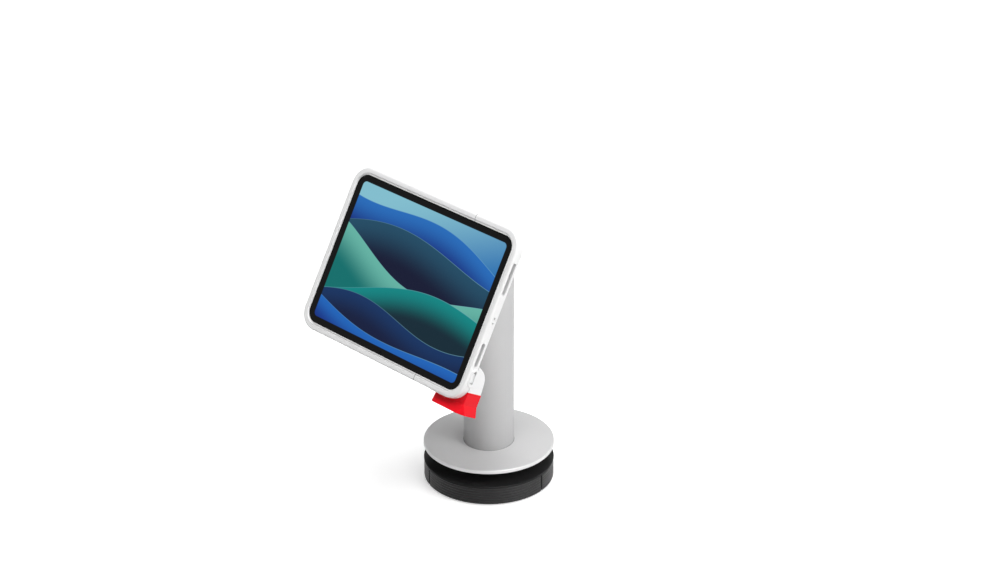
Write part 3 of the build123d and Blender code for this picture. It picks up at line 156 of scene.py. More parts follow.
def setInput(tree, socket, value):
    if isinstance(value, bpy.types.NodeSocket):
        tree.links.new(value, socket)
    elif isinstance(value, (tuple, list)) and socket.type == "RGBA" and len(value) == 3:
        socket.default_value = (*value, 1.0)
    else:
        socket.default_value = value


def addNode(tree, kind, inputs=None, **settings):
    node = tree.nodes.new(kind)
    for key, value in settings.items():
        setattr(node, key, value)
    for key, value in (inputs or {}).items():
        setInput(tree, node.inputs[key], value)
    return node


def calc(tree, operation, *values):
    node = addNode(tree, "ShaderNodeMath", operation=operation)
    for socket, value in zip(node.inputs, values):
        setInput(tree, socket, value)
    return node.outputs[0]


def blendColour(tree, factor, low, high, mode="MIX"):
    node = addNode(tree, "ShaderNodeMix", data_type="RGBA", blend_type=mode)
    colourSockets = [socket for socket in node.inputs if socket.type == "RGBA"]
    setInput(tree, node.inputs[0], factor)
    setInput(tree, colourSockets[0], low)
    setInput(tree, colourSockets[1], high)
    return [socket for socket in node.outputs if socket.type == "RGBA"][0]


def spread(tree, value, low, high, toLow, toHigh, smooth=False):
    # low to high becomes toLow to toHigh, and nothing goes past either end
    node = addNode(tree, "ShaderNodeMapRange", clamp=True)
    node.interpolation_type = "SMOOTHSTEP" if smooth else "LINEAR"
    for socket, item in zip(node.inputs, (value, low, high, toLow, toHigh)):
        setInput(tree, socket, item)
    return node.outputs[0]


def tintColour(tree, value):
    # the same number in red, green and blue
    node = addNode(tree, "ShaderNodeCombineColor")
    for socket in node.inputs[:3]:
        tree.links.new(value, socket)
    return node.outputs[0]


def objectPoint(tree, scale=None):
    point = addNode(tree, "ShaderNodeTexCoord").outputs["Object"]
    if scale:
        point = addNode(tree, "ShaderNodeMapping", {"Vector": point, "Scale": scale}).outputs[0]
    return point


def dotWith(tree, point, direction):
    node = addNode(tree, "ShaderNodeVectorMath", operation="DOT_PRODUCT")
    tree.links.new(point, node.inputs[0])
    node.inputs[1].default_value = tuple(direction)
    return node.outputs["Value"]


def noise(tree, point, scale, detail, rough=0.55):
    inputs = {"Vector": point, "Scale": scale, "Detail": detail, "Roughness": rough}
    return addNode(tree, "ShaderNodeTexNoise", inputs).outputs[0]


# What all the finishes share
patterns = {
    "range": (0.3, 0.7),  # the part of a noise that a pattern uses
    "slowDetail": 4.0,
    "plasticDetail": 2.0,
    "metalDetail": 3.0,
    "plasticDepth": 0.0002,  # height of the grain
    "metalDepth": 0.0001,
    "lighter": 0.3,  # how far a tint goes above the plain colour, as a share of its depth
    "fineShare": 0.6,  # what the fine grain has of a metal's gloss, beside the slow change
    "seamCore": 0.4,  # share of a seam's width that is fully dark
    "bevelSamples": 4,
}


def slowTint(tree, slow, depth):
    return spread(tree, slow, *patterns["range"], 1 - depth, 1 + depth * patterns["lighter"])


def softEdges(tree, shader, radius):
    # rounds the light on crisp edges, under the bump
    bevel = addNode(tree, "ShaderNodeBevel", {"Radius": radius}, samples=patterns["bevelSamples"])
    bump = shader.inputs["Normal"].links[0].from_node
    tree.links.new(bevel.outputs[0], bump.inputs["Normal"])


def paintShader(tree, shader, s, tint, gloss, fine, depth):
    # colour by the tint, roughness by the gloss pattern, and a bump from the fine grain
    colour = blendColour(tree, 1.0, s["colour"], tintColour(tree, tint), "MULTIPLY")
    tree.links.new(colour, shader.inputs["Base Color"])
    rough = spread(tree, gloss, *patterns["range"],
                   s["roughness"] - s["roughSwing"], s["roughness"] + s["roughSwing"])
    tree.links.new(rough, shader.inputs["Roughness"])
    shader.inputs["Specular IOR Level"].default_value = s.get("specular", 0.5)
    if "coat" in s:
        shader.inputs["Coat Weight"].default_value = s["coat"]
        shader.inputs["Coat Roughness"].default_value = s["coatRoughness"]
    bump = addNode(tree, "ShaderNodeBump",
                   {"Height": fine, "Strength": s["grainBump"], "Distance": depth})
    tree.links.new(bump.outputs[0], shader.inputs["Normal"])
    if "edge" in s:
        softEdges(tree, shader, s["edge"])


# Moulded plastic: fine grain, and a slow change in colour and gloss
def mouldedFinish(name, s):
    material, tree, shader = startMaterial(name)
    point = objectPoint(tree)
    fine = noise(tree, point, s["grainScale"], patterns["plasticDetail"])
    slow = noise(tree, point, s["slowScale"], patterns["slowDetail"])
    tint = slowTint(tree, slow, s["tint"])
    if "seamPlace" in s:
        # fine dirt in the joint across the case, at one place along X
        along = addNode(tree, "ShaderNodeSeparateXYZ", {"Vector": point}).outputs[0]
        away = calc(tree, "ABSOLUTE", calc(tree, "SUBTRACT", along, s["seamPlace"]))
        dirt = spread(tree, away, s["seamWidth"] * patterns["seamCore"], s["seamWidth"],
                      s["seamDark"], 1.0)
        tint = calc(tree, "MULTIPLY", tint, dirt)
    paintShader(tree, shader, s, tint, slow, fine, patterns["plasticDepth"])
    return material


# Metal: fine drawn or blasted texture in bump and gloss, with slow cloudy change
def metalFinish(name, s):
    material, tree, shader = startMaterial(name)
    stretched = objectPoint(tree, s.get("grainStretch", (1, 1, 1)))
    fine = noise(tree, stretched, s["grainScale"], patterns["metalDetail"])
    slow = noise(tree, objectPoint(tree), s["slowScale"], patterns["slowDetail"])
    shader.inputs["Metallic"].default_value = s["metallic"]
    gloss = calc(tree, "ADD", calc(tree, "MULTIPLY", fine, patterns["fineShare"]),
                 calc(tree, "MULTIPLY", slow, 1 - patterns["fineShare"]))
    tint = slowTint(tree, slow, s["tint"])
    paintShader(tree, shader, s, tint, gloss, fine, patterns["metalDepth"])
    return material


def multiplyColour(tree, shader, tint):
    plain = shader.inputs["Base Color"].links[0].from_socket
    darker = blendColour(tree, 1.0, plain, tintColour(tree, tint), "MULTIPLY")
    tree.links.new(darker, shader.inputs["Base Color"])


# The disc's bright turned rim, and painted shade in a thin ring round the pillar's foot, where
# pillar and disc meet
discRimAndFootShade = {
    "radius": 0.0744,
    "blur": 0.0003,
    "colour": (0.86, 0.86, 0.86),
    "strength": 0.34,
    "roughness": 0.34,
    "roughShare": 0.2,
    "lineScale": 40.0,
    "lineStretch": (1, 1, 60),
    "lineDetail": 2.0,
    "foot": 0.0291,
    "footBlur": 0.0003,
    "footPaintedShade": 0.35,
}


def polishedRimAndFootShade(material, s):
    # both go by the distance from the pillar's axis: the root of x squared plus y squared
    tree = material.node_tree
    place = addNode(tree, "ShaderNodeSeparateXYZ", {"Vector": objectPoint(tree)})
    across = calc(tree, "MULTIPLY", place.outputs[0], place.outputs[0])
    along = calc(tree, "MULTIPLY", place.outputs[1], place.outputs[1])
    radius = calc(tree, "SQRT", calc(tree, "ADD", across, along))
    band = spread(tree, radius, s["radius"] - s["blur"], s["radius"] + s["blur"],
                  0.0, s["strength"])
    satin = findNode(tree, "BSDF_PRINCIPLED")
    # painted shade: the disc is painted darker inside the pillar's foot radius, standing for the
    # shadow where pillar and disc meet
    joint = spread(tree, radius, s["foot"], s["foot"] + s["footBlur"], s["footPaintedShade"], 1.0)
    multiplyColour(tree, satin, joint)
    bright = addNode(tree, "ShaderNodeBsdfPrincipled", {"Base Color": s["colour"], "Metallic": 1.0})
    lines = noise(tree, objectPoint(tree, s["lineStretch"]), s["lineScale"], s["lineDetail"])
    rough = spread(tree, lines, *patterns["range"], s["roughness"] * (1 - s["roughShare"]),
                   s["roughness"] * (1 + s["roughShare"]))
    tree.links.new(rough, bright.inputs["Roughness"])
    mixed = addNode(tree, "ShaderNodeMixShader", {0: band})
    tree.links.new(satin.outputs[0], mixed.inputs[1])
    tree.links.new(bright.outputs[0], mixed.inputs[2])
    tree.links.new(mixed.outputs[0], findNode(tree, "OUTPUT_MATERIAL").inputs["Surface"])
    return material


caseSeam = (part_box("shell_lip")[1].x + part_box("end_lip")[0].x) / 2
seam = {"seamPlace": caseSeam, "seamWidth": 0.0005, "seamDark": 0.45}

plastics = {
    "caseWhite": {
        "colour": (0.89, 0.89, 0.89), "roughness": 0.42, "roughSwing": 0.05, "specular": 0.45,
        "tint": 0.015, "slowScale": 30.0, "grainScale": 2600.0, "grainBump": 0.05,
        "edge": 0.0005, **seam},
    # painted light: the end cap's lip is a lighter copy of the case white, standing for the light
    # that falls on the tablet's right end
    "endWhitePaintedLightAndShade": {
        "colour": (0.94, 0.94, 0.94), "roughness": 0.40, "roughSwing": 0.05, "specular": 0.5,
        "tint": 0.012, "slowScale": 30.0, "grainScale": 2600.0, "grainBump": 0.05,
        "edge": 0.0005, **seam},
    "keyWhite": {
        "colour": (0.87, 0.87, 0.875), "roughness": 0.42, "roughSwing": 0.04, "specular": 0.4,
        "tint": 0.02, "slowScale": 60.0, "grainScale": 2600.0, "grainBump": 0.06,
        "edge": 0.0003},
    "hoodRed": {
        "colour": (0.86, 0.006, 0.016), "roughness": 0.40, "roughSwing": 0.05, "specular": 0.14,
        "tint": 0.05, "slowScale": 40.0, "grainScale": 2400.0, "grainBump": 0.08,
        "edge": 0.0005},
    "coverBlack": {
        "colour": (0.022, 0.022, 0.0225), "roughness": 0.20, "roughSwing": 0.04, "specular": 0.08,
        "tint": 0.02, "slowScale": 25.0, "grainScale": 900.0, "grainBump": 0.004,
        "edge": 0.0003},
    "skirtBlack": {
        "colour": (0.0125, 0.0125, 0.013), "roughness": 0.42, "roughSwing": 0.08, "specular": 0.3,
        "tint": 0.1, "slowScale": 60.0, "grainScale": 1800.0, "grainBump": 0.12,
        "edge": 0.0002},
    "footRubber": {
        "colour": (0.018, 0.018, 0.018), "roughness": 0.75, "roughSwing": 0.08, "specular": 0.3,
        "tint": 0.1, "slowScale": 60.0, "grainScale": 1400.0, "grainBump": 0.25,
        "edge": 0.0003},
    "headBlack": {
        "colour": (0.045, 0.045, 0.048), "roughness": 0.48, "roughSwing": 0.06, "specular": 0.4,
        "tint": 0.05, "slowScale": 40.0, "grainScale": 2000.0, "grainBump": 0.15,
        "edge": 0.0004},
    "innerBlack": {
        "colour": (0.03, 0.03, 0.03), "roughness": 0.55, "roughSwing": 0.05, "specular": 0.35,
        "tint": 0.05, "slowScale": 50.0, "grainScale": 1800.0, "grainBump": 0.1},
    "flexAmber": {
        "colour": (0.45, 0.20, 0.03), "roughness": 0.35, "roughSwing": 0.05, "specular": 0.45,
        "tint": 0.05, "slowScale": 90.0, "grainScale": 1500.0, "grainBump": 0.03},
    "lensBlack": {
        "colour": (0.008, 0.008, 0.012), "roughness": 0.05, "roughSwing": 0.02, "specular": 0.6,
        "tint": 0.02, "slowScale": 90.0, "grainScale": 900.0, "grainBump": 0.002,
        "coat": 0.8, "coatRoughness": 0.02, "edge": 0.0002},
    "padBrown": {
        "colour": (0.11, 0.07, 0.05), "roughness": 0.8, "roughSwing": 0.08, "specular": 0.25,
        "tint": 0.2, "slowScale": 300.0, "grainScale": 2200.0, "grainBump": 0.3},
}

metals = {
    # painted shade: the pillar's silver is a darker copy of the disc's silver, standing for the
    # shade that falls on the pillar
    "pillarSilverPaintedShade": {
        "colour": (0.59, 0.59, 0.593), "metallic": 0.05, "roughness": 0.52, "roughSwing": 0.05,
        "specular": 0.12, "tint": 0.03, "slowScale": 14.0, "grainScale": 3200.0,
        "grainBump": 0.08, "edge": 0.0004},
    "silverDisc": {
        "colour": (0.635, 0.635, 0.638), "metallic": 0.05, "roughness": 0.52, "roughSwing": 0.05,
        "specular": 0.12, "tint": 0.03, "slowScale": 14.0, "grainScale": 3200.0,
        "grainBump": 0.08, "edge": 0.0004},
    "headSilver": {
        "colour": (0.55, 0.552, 0.558), "metallic": 0.15, "roughness": 0.42, "roughSwing": 0.06,
        "tint": 0.04, "slowScale": 30.0, "grainScale": 2400.0, "grainBump": 0.12,
        "edge": 0.0006},
    "plainSteel": {
        "colour": (0.50, 0.51, 0.53), "metallic": 1.0, "roughness": 0.35, "roughSwing": 0.1,
        "tint": 0.06, "slowScale": 40.0, "grainScale": 60.0, "grainStretch": (60, 1, 60),
        "grainBump": 0.10, "edge": 0.0003},
    "fastenerSteel": {
        "colour": (0.32, 0.325, 0.34), "metallic": 1.0, "roughness": 0.34, "roughSwing": 0.08,
        "tint": 0.08, "slowScale": 120.0, "grainScale": 1800.0, "grainBump": 0.1,
        "edge": 0.0002},
    "ballastIron": {
        "colour": (0.07, 0.07, 0.075), "metallic": 0.35, "roughness": 0.6, "roughSwing": 0.12,
        "tint": 0.2, "slowScale": 50.0, "grainScale": 900.0, "grainBump": 0.5,
        "edge": 0.0004},
    "bushingBronze": {
        "colour": (0.60, 0.40, 0.18), "metallic": 1.0, "roughness": 0.3, "roughSwing": 0.08,
        "tint": 0.06, "slowScale": 60.0, "grainScale": 60.0, "grainStretch": (1, 1, 90),
        "grainBump": 0.08},
    "darkMetal": {
        "colour": (0.035, 0.035, 0.038), "metallic": 0.3, "roughness": 0.35, "roughSwing": 0.06,
        "tint": 0.05, "slowScale": 40.0, "grainScale": 1800.0, "grainBump": 0.06,
        "edge": 0.0003},
    "magnetNickel": {
        "colour": (0.66, 0.63, 0.57), "metallic": 1.0, "roughness": 0.18, "roughSwing": 0.06,
        "tint": 0.05, "slowScale": 70.0, "grainScale": 1200.0, "grainBump": 0.04},
    "contactGold": {
        "colour": (0.86, 0.60, 0.22), "metallic": 1.0, "roughness": 0.22, "roughSwing": 0.05,
        "tint": 0.04, "slowScale": 150.0, "grainScale": 2000.0, "grainBump": 0.05},
    "tabletMetal": {
        "colour": (0.19, 0.194, 0.205), "metallic": 0.95, "roughness": 0.42, "roughSwing": 0.04,
        "tint": 0.03, "slowScale": 30.0, "grainScale": 3600.0, "grainBump": 0.08,
        "edge": 0.0003},
    "mirrorGlass": {
        "colour": (0.86, 0.87, 0.87), "metallic": 1.0, "roughness": 0.03, "roughSwing": 0.01,
        "tint": 0.01, "slowScale": 60.0, "grainScale": 500.0, "grainBump": 0.002},
}

finishes = {name: mouldedFinish(name, s) for name, s in plastics.items()}
finishes.update({name: metalFinish(name, s) for name, s in metals.items()})
polishedRimAndFootShade(finishes["silverDisc"], discRimAndFootShade)
print("tablet stand: finishes made,", len(finishes))


# The tablet's own directions: out of the glass, across the screen and up the screen
glassCentre = np.array(joints["turn"]["pos_m"])
glassOut = np.array(joints["turn"]["axis"]) / np.linalg.norm(joints["turn"]["axis"])
screenRight = np.array([1.0, 0.0, 0.0])
screenUp = np.cross(glassOut, screenRight)
centreUp = float(glassCentre @ screenUp)
cameraEye = tuple((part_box("front_camera")[0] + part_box("front_camera")[1]) / 2)

# Screen: black border and a lit picture of soft layered waves, under polished glass
screenPicture = {
    "halfWidth": 0.1137,
    "halfHeight": 0.0800,
    "cornerRadius": 0.005,
    "edgeBlur": 0.00025,
    "borderColour": (0.0065, 0.0065, 0.0068),
    "eyeRadius": 0.0021,
    "eyeBlur": 0.0002,
    "eyeColour": (0.0006, 0.0006, 0.0010),
    "specular": 0.05,
    "smudgeScale": 45.0,
    "smudgeDetail": 5.0,
    "smudgeRough": 0.6,
    "smudgeRange": (0.45, 0.75),
    "roughness": (0.03, 0.09),
    "glow": 0.95,
    "skyColours": ((0.23, 0.53, 0.64), (0.004, 0.14, 0.44)),
    "skySlant": 0.6,
    "skyRange": (-1.3, 0.35),
    "crestColour": (0.22, 0.52, 0.62),
    "crestWidth": 0.009,
    "crestStrength": (0.25, 0.75),
    "waveBlur": 0.004,
    # level, swing, frequency, phase, slope, crest colour, deep colour, depth of the fade
    "waves": [
        (0.74, 0.15, 2.3, 0.9, -0.20, (0.016, 0.15, 0.50), (0.002, 0.016, 0.20), 0.44),
        (0.40, 0.24, 1.7, 2.3, 0.10, (0.012, 0.070, 0.13), (0.002, 0.005, 0.030), 0.52),
        (0.10, 0.22, 2.2, 4.6, -0.14, (0.130, 0.46, 0.38), (0.000, 0.16, 0.15), 0.55),
        (-0.30, 0.20, 1.9, 1.0, 0.12, (0.000, 0.24, 0.23), (0.002, 0.020, 0.035), 0.42),
        (-0.58, 0.17, 2.4, 3.0, 0.10, (0.003, 0.030, 0.12), (0.002, 0.008, 0.045), 0.36),
        (-0.82, 0.13, 2.0, 5.4, -0.16, (0.010, 0.13, 0.50), (0.003, 0.030, 0.24), 0.30),
    ],
}


def roundedMask(tree, across, up, s):
    # 1 inside a rounded rectangle and 0 outside, from the distance to its edge
    radius, blur = s["cornerRadius"], s["edgeBlur"]
    qx = calc(tree, "SUBTRACT", calc(tree, "ABSOLUTE", across), s["halfWidth"] - radius)
    qy = calc(tree, "SUBTRACT", calc(tree, "ABSOLUTE", up), s["halfHeight"] - radius)
    outX, outY = calc(tree, "MAXIMUM", qx, 0.0), calc(tree, "MAXIMUM", qy, 0.0)
    squares = calc(tree, "ADD", calc(tree, "MULTIPLY", outX, outX),
                   calc(tree, "MULTIPLY", outY, outY))
    inside = calc(tree, "MINIMUM", calc(tree, "MAXIMUM", qx, qy), 0.0)
    reach = calc(tree, "ADD", calc(tree, "SQRT", squares), inside)
    return spread(tree, calc(tree, "SUBTRACT", reach, radius), -blur, blur, 1.0, 0.0)


def wavePicture(tree, u, w, s):
    # u and w run from -1 to 1 across and up the picture; each wave covers those behind it
    slant = calc(tree, "SUBTRACT", calc(tree, "MULTIPLY", u, s["skySlant"]), w)
    skyMix = spread(tree, slant, *s["skyRange"], 0.0, 1.0, True)
    picture = blendColour(tree, skyMix, *s["skyColours"])
    for level, swing, frequency, phase, slope, crest, deep, fade in s["waves"]:
        # crest height: level + swing * sin(frequency * u + phase) + slope * u
        wave = calc(tree, "SINE", calc(tree, "MULTIPLY_ADD", u, frequency, phase))
        lean = calc(tree, "MULTIPLY_ADD", u, slope, level)
        below = calc(tree, "SUBTRACT", calc(tree, "MULTIPLY_ADD", wave, swing, lean), w)
        body = blendColour(tree, spread(tree, below, 0.0, fade, 0.0, 1.0, True), crest, deep)
        line = calc(tree, "MULTIPLY", spread(tree, below, 0.0, s["crestWidth"], 1.0, 0.0),
                    spread(tree, u, -1.0, 1.0, *s["crestStrength"]))
        body = blendColour(tree, line, body, s["crestColour"])
        cover = spread(tree, below, -s["waveBlur"], s["waveBlur"], 0.0, 1.0)
        picture = blendColour(tree, cover, picture, body)
    return picture


def screenFinish(name, s):
    material, tree, shader = startMaterial(name)
    point = objectPoint(tree)
    across = dotWith(tree, point, screenRight)
    up = calc(tree, "SUBTRACT", dotWith(tree, point, screenUp), centreUp)
    picture = wavePicture(tree, calc(tree, "DIVIDE", across, s["halfWidth"]),
                          calc(tree, "DIVIDE", up, s["halfHeight"]), s)
    glowColour = blendColour(tree, roundedMask(tree, across, up, s), (0.0, 0.0, 0.0), picture)
    tree.links.new(glowColour, shader.inputs["Emission Color"])
    shader.inputs["Emission Strength"].default_value = s["glow"]
    # the camera in the border shows as a deep black eye
    eye = addNode(tree, "ShaderNodeVectorMath", {0: point, 1: cameraEye}, operation="DISTANCE")
    outside = spread(tree, eye.outputs["Value"], s["eyeRadius"], s["eyeRadius"] + s["eyeBlur"],
                     0.0, 1.0)
    border = blendColour(tree, outside, s["eyeColour"], s["borderColour"])
    tree.links.new(border, shader.inputs["Base Color"])
    shader.inputs["Specular IOR Level"].default_value = s["specular"]
    smudge = noise(tree, point, s["smudgeScale"], s["smudgeDetail"], s["smudgeRough"])
    rough = spread(tree, smudge, *s["smudgeRange"], *s["roughness"])
    tree.links.new(rough, shader.inputs["Roughness"])
    return material


# Painted shade in the groove and slope along the tablet's lower edge, by their distance below the
# glass centre
lowerGroovePaintedShade = {"from": 0.0887, "to": 0.0903, "blur": 0.00015, "dark": 0.76}


def paintGrooveShade(material, s):
    # painted shade: the groove and slope are painted darker than the lip round them, along the
    # lower edge only
    tree = material.node_tree
    down = calc(tree, "SUBTRACT", centreUp, dotWith(tree, objectPoint(tree), screenUp))
    enter = spread(tree, down, s["from"] - s["blur"], s["from"] + s["blur"], 1.0, s["dark"])
    leave = spread(tree, down, s["to"] - s["blur"], s["to"] + s["blur"], s["dark"], 1.0)
    shade = calc(tree, "MAXIMUM", enter, leave)
    multiplyColour(tree, findNode(tree, "BSDF_PRINCIPLED"), shade)
    return material


finishes["screen"] = screenFinish("screen", screenPicture)
finishes["lipWhitePaintedShade"] = paintGrooveShade(mouldedFinish("lipWhitePaintedShade", plastics["caseWhite"]), lowerGroovePaintedShade)
paintGrooveShade(finishes["endWhitePaintedLightAndShade"], lowerGroovePaintedShade)
print("tablet stand: screen picture made")

nodeFinishes = {
    "pillarSilverPaintedShade": ["pillar", "pillar_cap"],
    "silverDisc": ["base_disc"],
    "headSilver": ["neck_arm", "head_yoke"],
    "darkMetal": ["spindle"],
    "coverBlack": ["base_cover"],
    "skirtBlack": ["skirt_right", "skirt_rear", "skirt_left"],
    "footRubber": ["foot_ring", "cable_grommet"],
    "ballastIron": ["base_weight"],
    "plainSteel": ["base_plate", "friction_washer", "thrust_ring", "spindle_nut", "neck_backing",
                   "neck_nut", "tilt_nut", "keeper_ring"],
    "fastenerSteel": ["base_screws", "stop_pin", "set_screws", "face_screws", "hood_screws",
                      "neck_bolt", "tilt_pin", "turn_clip"],
    "bushingBronze": ["swivel_bushing", "turn_washer"],
    "padBrown": ["friction_discs"],
    "headBlack": ["head_dish", "head_face"],
    "innerBlack": ["contact_block", "pad_carrier", "dock_plug"],
    "magnetNickel": ["head_magnets"],
    "contactGold": ["contact_pins", "contact_pads"],
    "caseWhite": ["case_shell", "case_end", "hood_housing"],
    "lipWhitePaintedShade": ["shell_lip"],
    "endWhitePaintedLightAndShade": ["end_lip"],
    "keyWhite": ["power_key"],
    "flexAmber": ["flex_lead"],
    "tabletMetal": ["tablet_body", "power_button"],
    "screen": ["cover_glass", "display_panel"],
    "lensBlack": ["front_camera", "rear_camera", "rear_lens"],
    "hoodRed": ["scan_hood"],
    "mirrorGlass": ["hood_mirror"],
}
for finishName, nodeNames in nodeFinishes.items():
    for nodeName in nodeNames:
        materials = nodes[nodeName].data.materials
        materials.clear()
        materials.append(finishes[finishName])


# Fasteners: screws with sockets and threads, and a nut with turned corners

fasteners = {
    # heads are (height, radius) from the rim of the socket outwards and down
    "tiltPin": {
        "shank": 0.0040, "socket": 0.0022, "socketDepth": 0.0021, "socketBevel": 0.0002,
        "pitch": 0.00125, "threadDepth": 0.0005, "threadLength": 0.0080,
        "tip": 0.0005, "tipTaper": 0.7, "columns": 72, "rowsPerTurn": 8,
        "head": [(0.0, 0.0050), (0.0001, 0.0057), (0.0004, 0.0063), (0.0009, 0.0067),
                 (0.0015, 0.0069), (0.0022, 0.0070), (0.0029, 0.0070), (0.0030, 0.0069),
                 (0.0030, 0.0040)]},
    "baseScrew": {
        "shank": 0.0020, "socket": 0.00125, "socketDepth": 0.0012, "socketBevel": 0.0002,
        "pitch": 0.0007, "threadDepth": 0.0003, "threadLength": 0.0090,
        "tip": 0.0004, "tipTaper": 0.7, "columns": 48, "rowsPerTurn": 8,
        "head": [(0.0, 0.0037), (0.0001, 0.0039), (0.0003, 0.0039), (0.0020, 0.0020)]},
    "tiltNut": {
        "height": 0.0040, "halfWidth": 0.00606, "corner": 0.0070, "cornerCut": 0.0008,
        "cornerSlope": 1.7, "faceInset": 0.2, "bore": 0.0036, "boreBevel": 0.0004,
        "rows": 13, "columns": 96},
    "boltAngles": (0, 120, 240),
    "boltHeadRadius": 0.0040,
    "sharpAbove": 32,
}


def fullTurn(columns):
    return np.linspace(0, 2 * np.pi, columns, endpoint=False)


def sixSided(angle, halfWidth):
    # distance to a hexagon's side: half width / cos(angle folded to 30 degrees round a flat)
    return halfWidth / np.cos(np.mod(angle, np.pi / 3) - np.pi / 6)


def turnedGrid(place, along, heights, radii):
    # point = place + height * along + radius * (cos(angle) * side + sin(angle) * other)
    along = np.array(along, float)
    side = np.cross(along, (0.0, 0.0, 1.0) if abs(along[2]) < 0.5 else (1.0, 0.0, 0.0))
    side /= np.linalg.norm(side)
    other = np.cross(along, side)
    angle = fullTurn(radii.shape[1])
    ring = np.cos(angle)[:, None] * side + np.sin(angle)[:, None] * other
    return np.array(place) + heights[:, None, None] * along + radii[:, :, None] * ring


def screwGrid(s, place, along, length):
    # rows from the socket's floor over the head and down the shank to the tip
    angle = fullTurn(s["columns"])
    bevel = s["socketBevel"]
    socketHeights, socketRadii = np.array([
        (s["socketDepth"], 0.0), (s["socketDepth"], s["socket"]),
        (bevel, s["socket"]), (0.0, s["socket"] + bevel)]).T
    headHeights, headRadii = np.array(s["head"]).T
    # thread: radius = shank - depth * |2 * fraction(height / pitch - angle / full turn) - 1|
    threadHeights = np.arange(length - s["threadLength"], length - s["tip"],
                              s["pitch"] / s["rowsPerTurn"])
    turns = threadHeights[:, None] / s["pitch"] - angle / (2 * np.pi)
    thread = s["shank"] - s["threadDepth"] * np.abs(2 * np.mod(turns, 1.0) - 1)
    core = s["shank"] - s["threadDepth"]
    tipHeights = np.array([length - s["tip"], length, length])
    tipRadii = np.array([core, core - s["tip"] * s["tipTaper"], 0.0])
    plain = np.ones_like(angle)
    radii = np.concatenate([sixSided(angle, socketRadii[:, None]), headRadii[:, None] * plain,
                            thread, tipRadii[:, None] * plain])
    heights = np.concatenate([socketHeights, headHeights, threadHeights, tipHeights])
    return turnedGrid(place, along, heights, radii)


def nutGrid(s, place, along):
    # radius on the outside = the smaller of the hexagon and a cone that cuts its corners
    angle = fullTurn(s["columns"])
    top, bevel = s["height"], s["boreBevel"]
    sides = np.linspace(0, top, s["rows"])
    heights = np.concatenate([[0.0, 0.0], sides, [top, top, top - bevel, bevel]])
    fromFace = np.minimum(sides, top - sides)
    cone = s["corner"] - s["cornerCut"] + s["cornerSlope"] * fromFace
    outside = np.minimum(sixSided(angle, s["halfWidth"]), cone[:, None])
    inner = np.array([s["bore"] + bevel, s["halfWidth"] - s["cornerCut"] * s["faceInset"]])
    bore = np.array([s["bore"], s["bore"]])
    plain = np.ones_like(angle)
    radii = np.concatenate([inner[:, None] * plain, outside, inner[::-1, None] * plain,
                            bore[:, None] * plain])
    return turnedGrid(place, along, heights, radii)


def corners(nodeName):
    low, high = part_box(nodeName)
    return np.array(low), np.array(high)


def finishPiece(piece, replaced, sharpAbove):
    piece.data.materials.append(finishes["fastenerSteel"])
    piece.data.set_sharp_from_angle(angle=math.radians(sharpAbove))
    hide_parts(replaced)


def makeFasteners(s):
    pinLow, pinHigh = corners("tilt_pin")
    middle = (pinLow + pinHigh) / 2
    pinStart = (pinLow[0], middle[1], middle[2])
    pinGrid = screwGrid(s["tiltPin"], pinStart, (1, 0, 0), pinHigh[0] - pinLow[0])
    pin = makePiece("tiltPinThreaded", [(pinGrid, False, True)], "column")
    finishPiece(pin, "tilt_pin", s["sharpAbove"])

    nutStart = (corners("tilt_nut")[0][0], middle[1], middle[2])
    nutRows = nutGrid(s["tiltNut"], nutStart, (1, 0, 0))
    nut = makePiece("tiltNutTurned", [(nutRows, True, True)], "column")
    finishPiece(nut, "tilt_nut", s["sharpAbove"])

    screwLow, screwHigh = corners("base_screws")
    reach = -screwLow[1] - s["boltHeadRadius"]
    screwGrids = []
    for angle in np.radians(s["boltAngles"]):
        start = (reach * math.sin(angle), -reach * math.cos(angle), screwLow[2])
        rows = screwGrid(s["baseScrew"], start, (0, 0, 1), screwHigh[2] - screwLow[2])
        screwGrids.append((rows, False, True))
    screws = makePiece("baseScrewsThreaded", screwGrids, "base")
    finishPiece(screws, "base_screws", s["sharpAbove"])


makeFasteners(fasteners)
print("tablet stand: screws and nut made")


# Floor, world and lamps
surroundings = {
    "floorSize": 14.0,
    "floorColour": (0.86, 0.86, 0.86),
    "floorRoughness": 0.9,
    "floorSpecular": 0.1,
    # light the paper gives off near the object and far away, and where the change starts and ends
    "floorLift": (0.55, 1.2),
    "floorFade": (0.9, 3.2),
    "worldLight": 0.04,
    "lampAim": (0.0, -0.05, 0.20),
    # place, width, watts
    "lamps": [
        ((3.3, 0.9, 1.8), 1.6, 49.0),
        ((0.2, 0.0, 3.6), 1.8, 72.0),
        ((0.5, -1.1, 3.5), 1.6, 34.0),
        ((2.2, -0.3, 3.1), 1.6, 32.0),
    ],
}
white = (1.0, 1.0, 1.0)


def whiteRays(tree):
    # 1 for what the camera, a gloss or clear glass looks at, and 0 for light
    path = addNode(tree, "ShaderNodeLightPath")
    mirrored = calc(tree, "MAXIMUM", path.outputs["Is Glossy Ray"],
                    path.outputs["Is Transmission Ray"])
    return calc(tree, "MAXIMUM", path.outputs["Is Camera Ray"], mirrored)


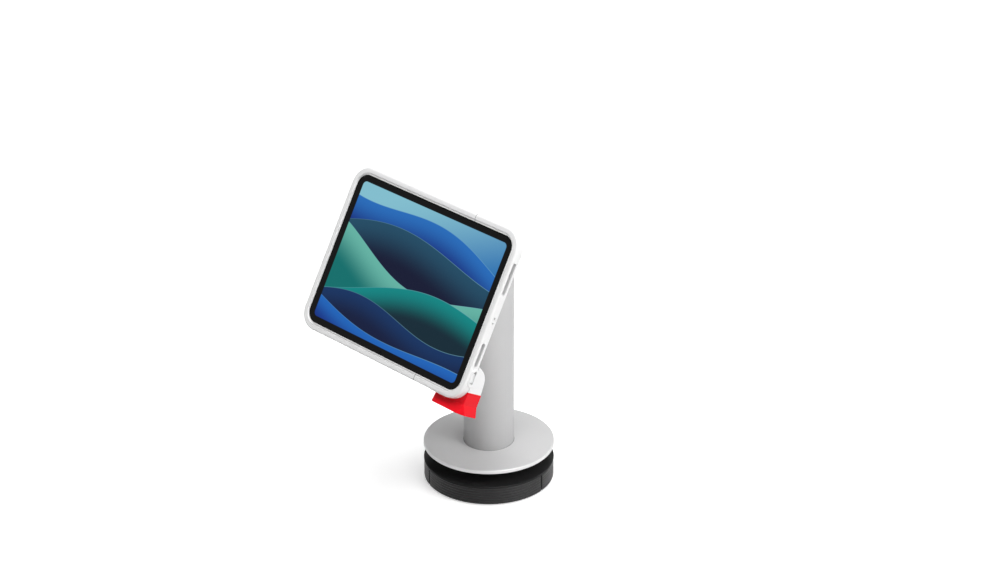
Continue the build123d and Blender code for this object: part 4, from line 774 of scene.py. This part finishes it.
def makeFloor(s):
    edge = s["floorSize"] / 2
    mesh = bpy.data.meshes.new("floor")
    square = [(-edge, -edge, 0), (edge, -edge, 0), (edge, edge, 0), (-edge, edge, 0)]
    mesh.from_pydata(square, [], [(0, 1, 2, 3)])
    floor = bpy.data.objects.new("floor", mesh)
    bpy.context.scene.collection.objects.link(floor)
    material, tree, shader = startMaterial("floorPaper")
    setInput(tree, shader.inputs["Base Color"], s["floorColour"])
    shader.inputs["Roughness"].default_value = s["floorRoughness"]
    shader.inputs["Specular IOR Level"].default_value = s["floorSpecular"]
    away = addNode(tree, "ShaderNodeVectorMath", {0: objectPoint(tree)}, operation="LENGTH")
    lift = spread(tree, away.outputs["Value"], *s["floorFade"], *s["floorLift"], True)
    strength = calc(tree, "MULTIPLY", whiteRays(tree), lift)
    glow = addNode(tree, "ShaderNodeEmission", {"Color": white, "Strength": strength})
    both = addNode(tree, "ShaderNodeAddShader")
    tree.links.new(shader.outputs["BSDF"], both.inputs[0])
    tree.links.new(glow.outputs[0], both.inputs[1])
    tree.links.new(both.outputs[0], findNode(tree, "OUTPUT_MATERIAL").inputs["Surface"])
    mesh.materials.append(material)


def makeWorld(s):
    world = bpy.data.worlds.new("studio")
    bpy.context.scene.world = world
    world.use_nodes = True
    tree = world.node_tree
    tree.nodes.clear()
    strength = spread(tree, whiteRays(tree), 0.0, 1.0, s["worldLight"], 1.0)
    light = addNode(tree, "ShaderNodeBackground", {"Color": white, "Strength": strength})
    output = addNode(tree, "ShaderNodeOutputWorld")
    tree.links.new(light.outputs[0], output.inputs["Surface"])


def makeLamps(s):
    for index, (place, width, watts) in enumerate(s["lamps"]):
        name = "lamp%d" % index
        data = bpy.data.lights.new(name, "AREA")
        data.shape, data.size, data.energy = "SQUARE", width, watts
        lamp = bpy.data.objects.new(name, data)
        towards = (Vector(s["lampAim"]) - Vector(place)).to_track_quat("-Z", "Y")
        lamp.matrix_world = Matrix.Translation(place) @ towards.to_matrix().to_4x4()
        bpy.context.scene.collection.objects.link(lamp)


makeFloor(surroundings)
makeWorld(surroundings)
makeLamps(surroundings)
bpy.context.scene.view_settings.view_transform = "Standard"
print("tablet stand: floor, world and lamps set")
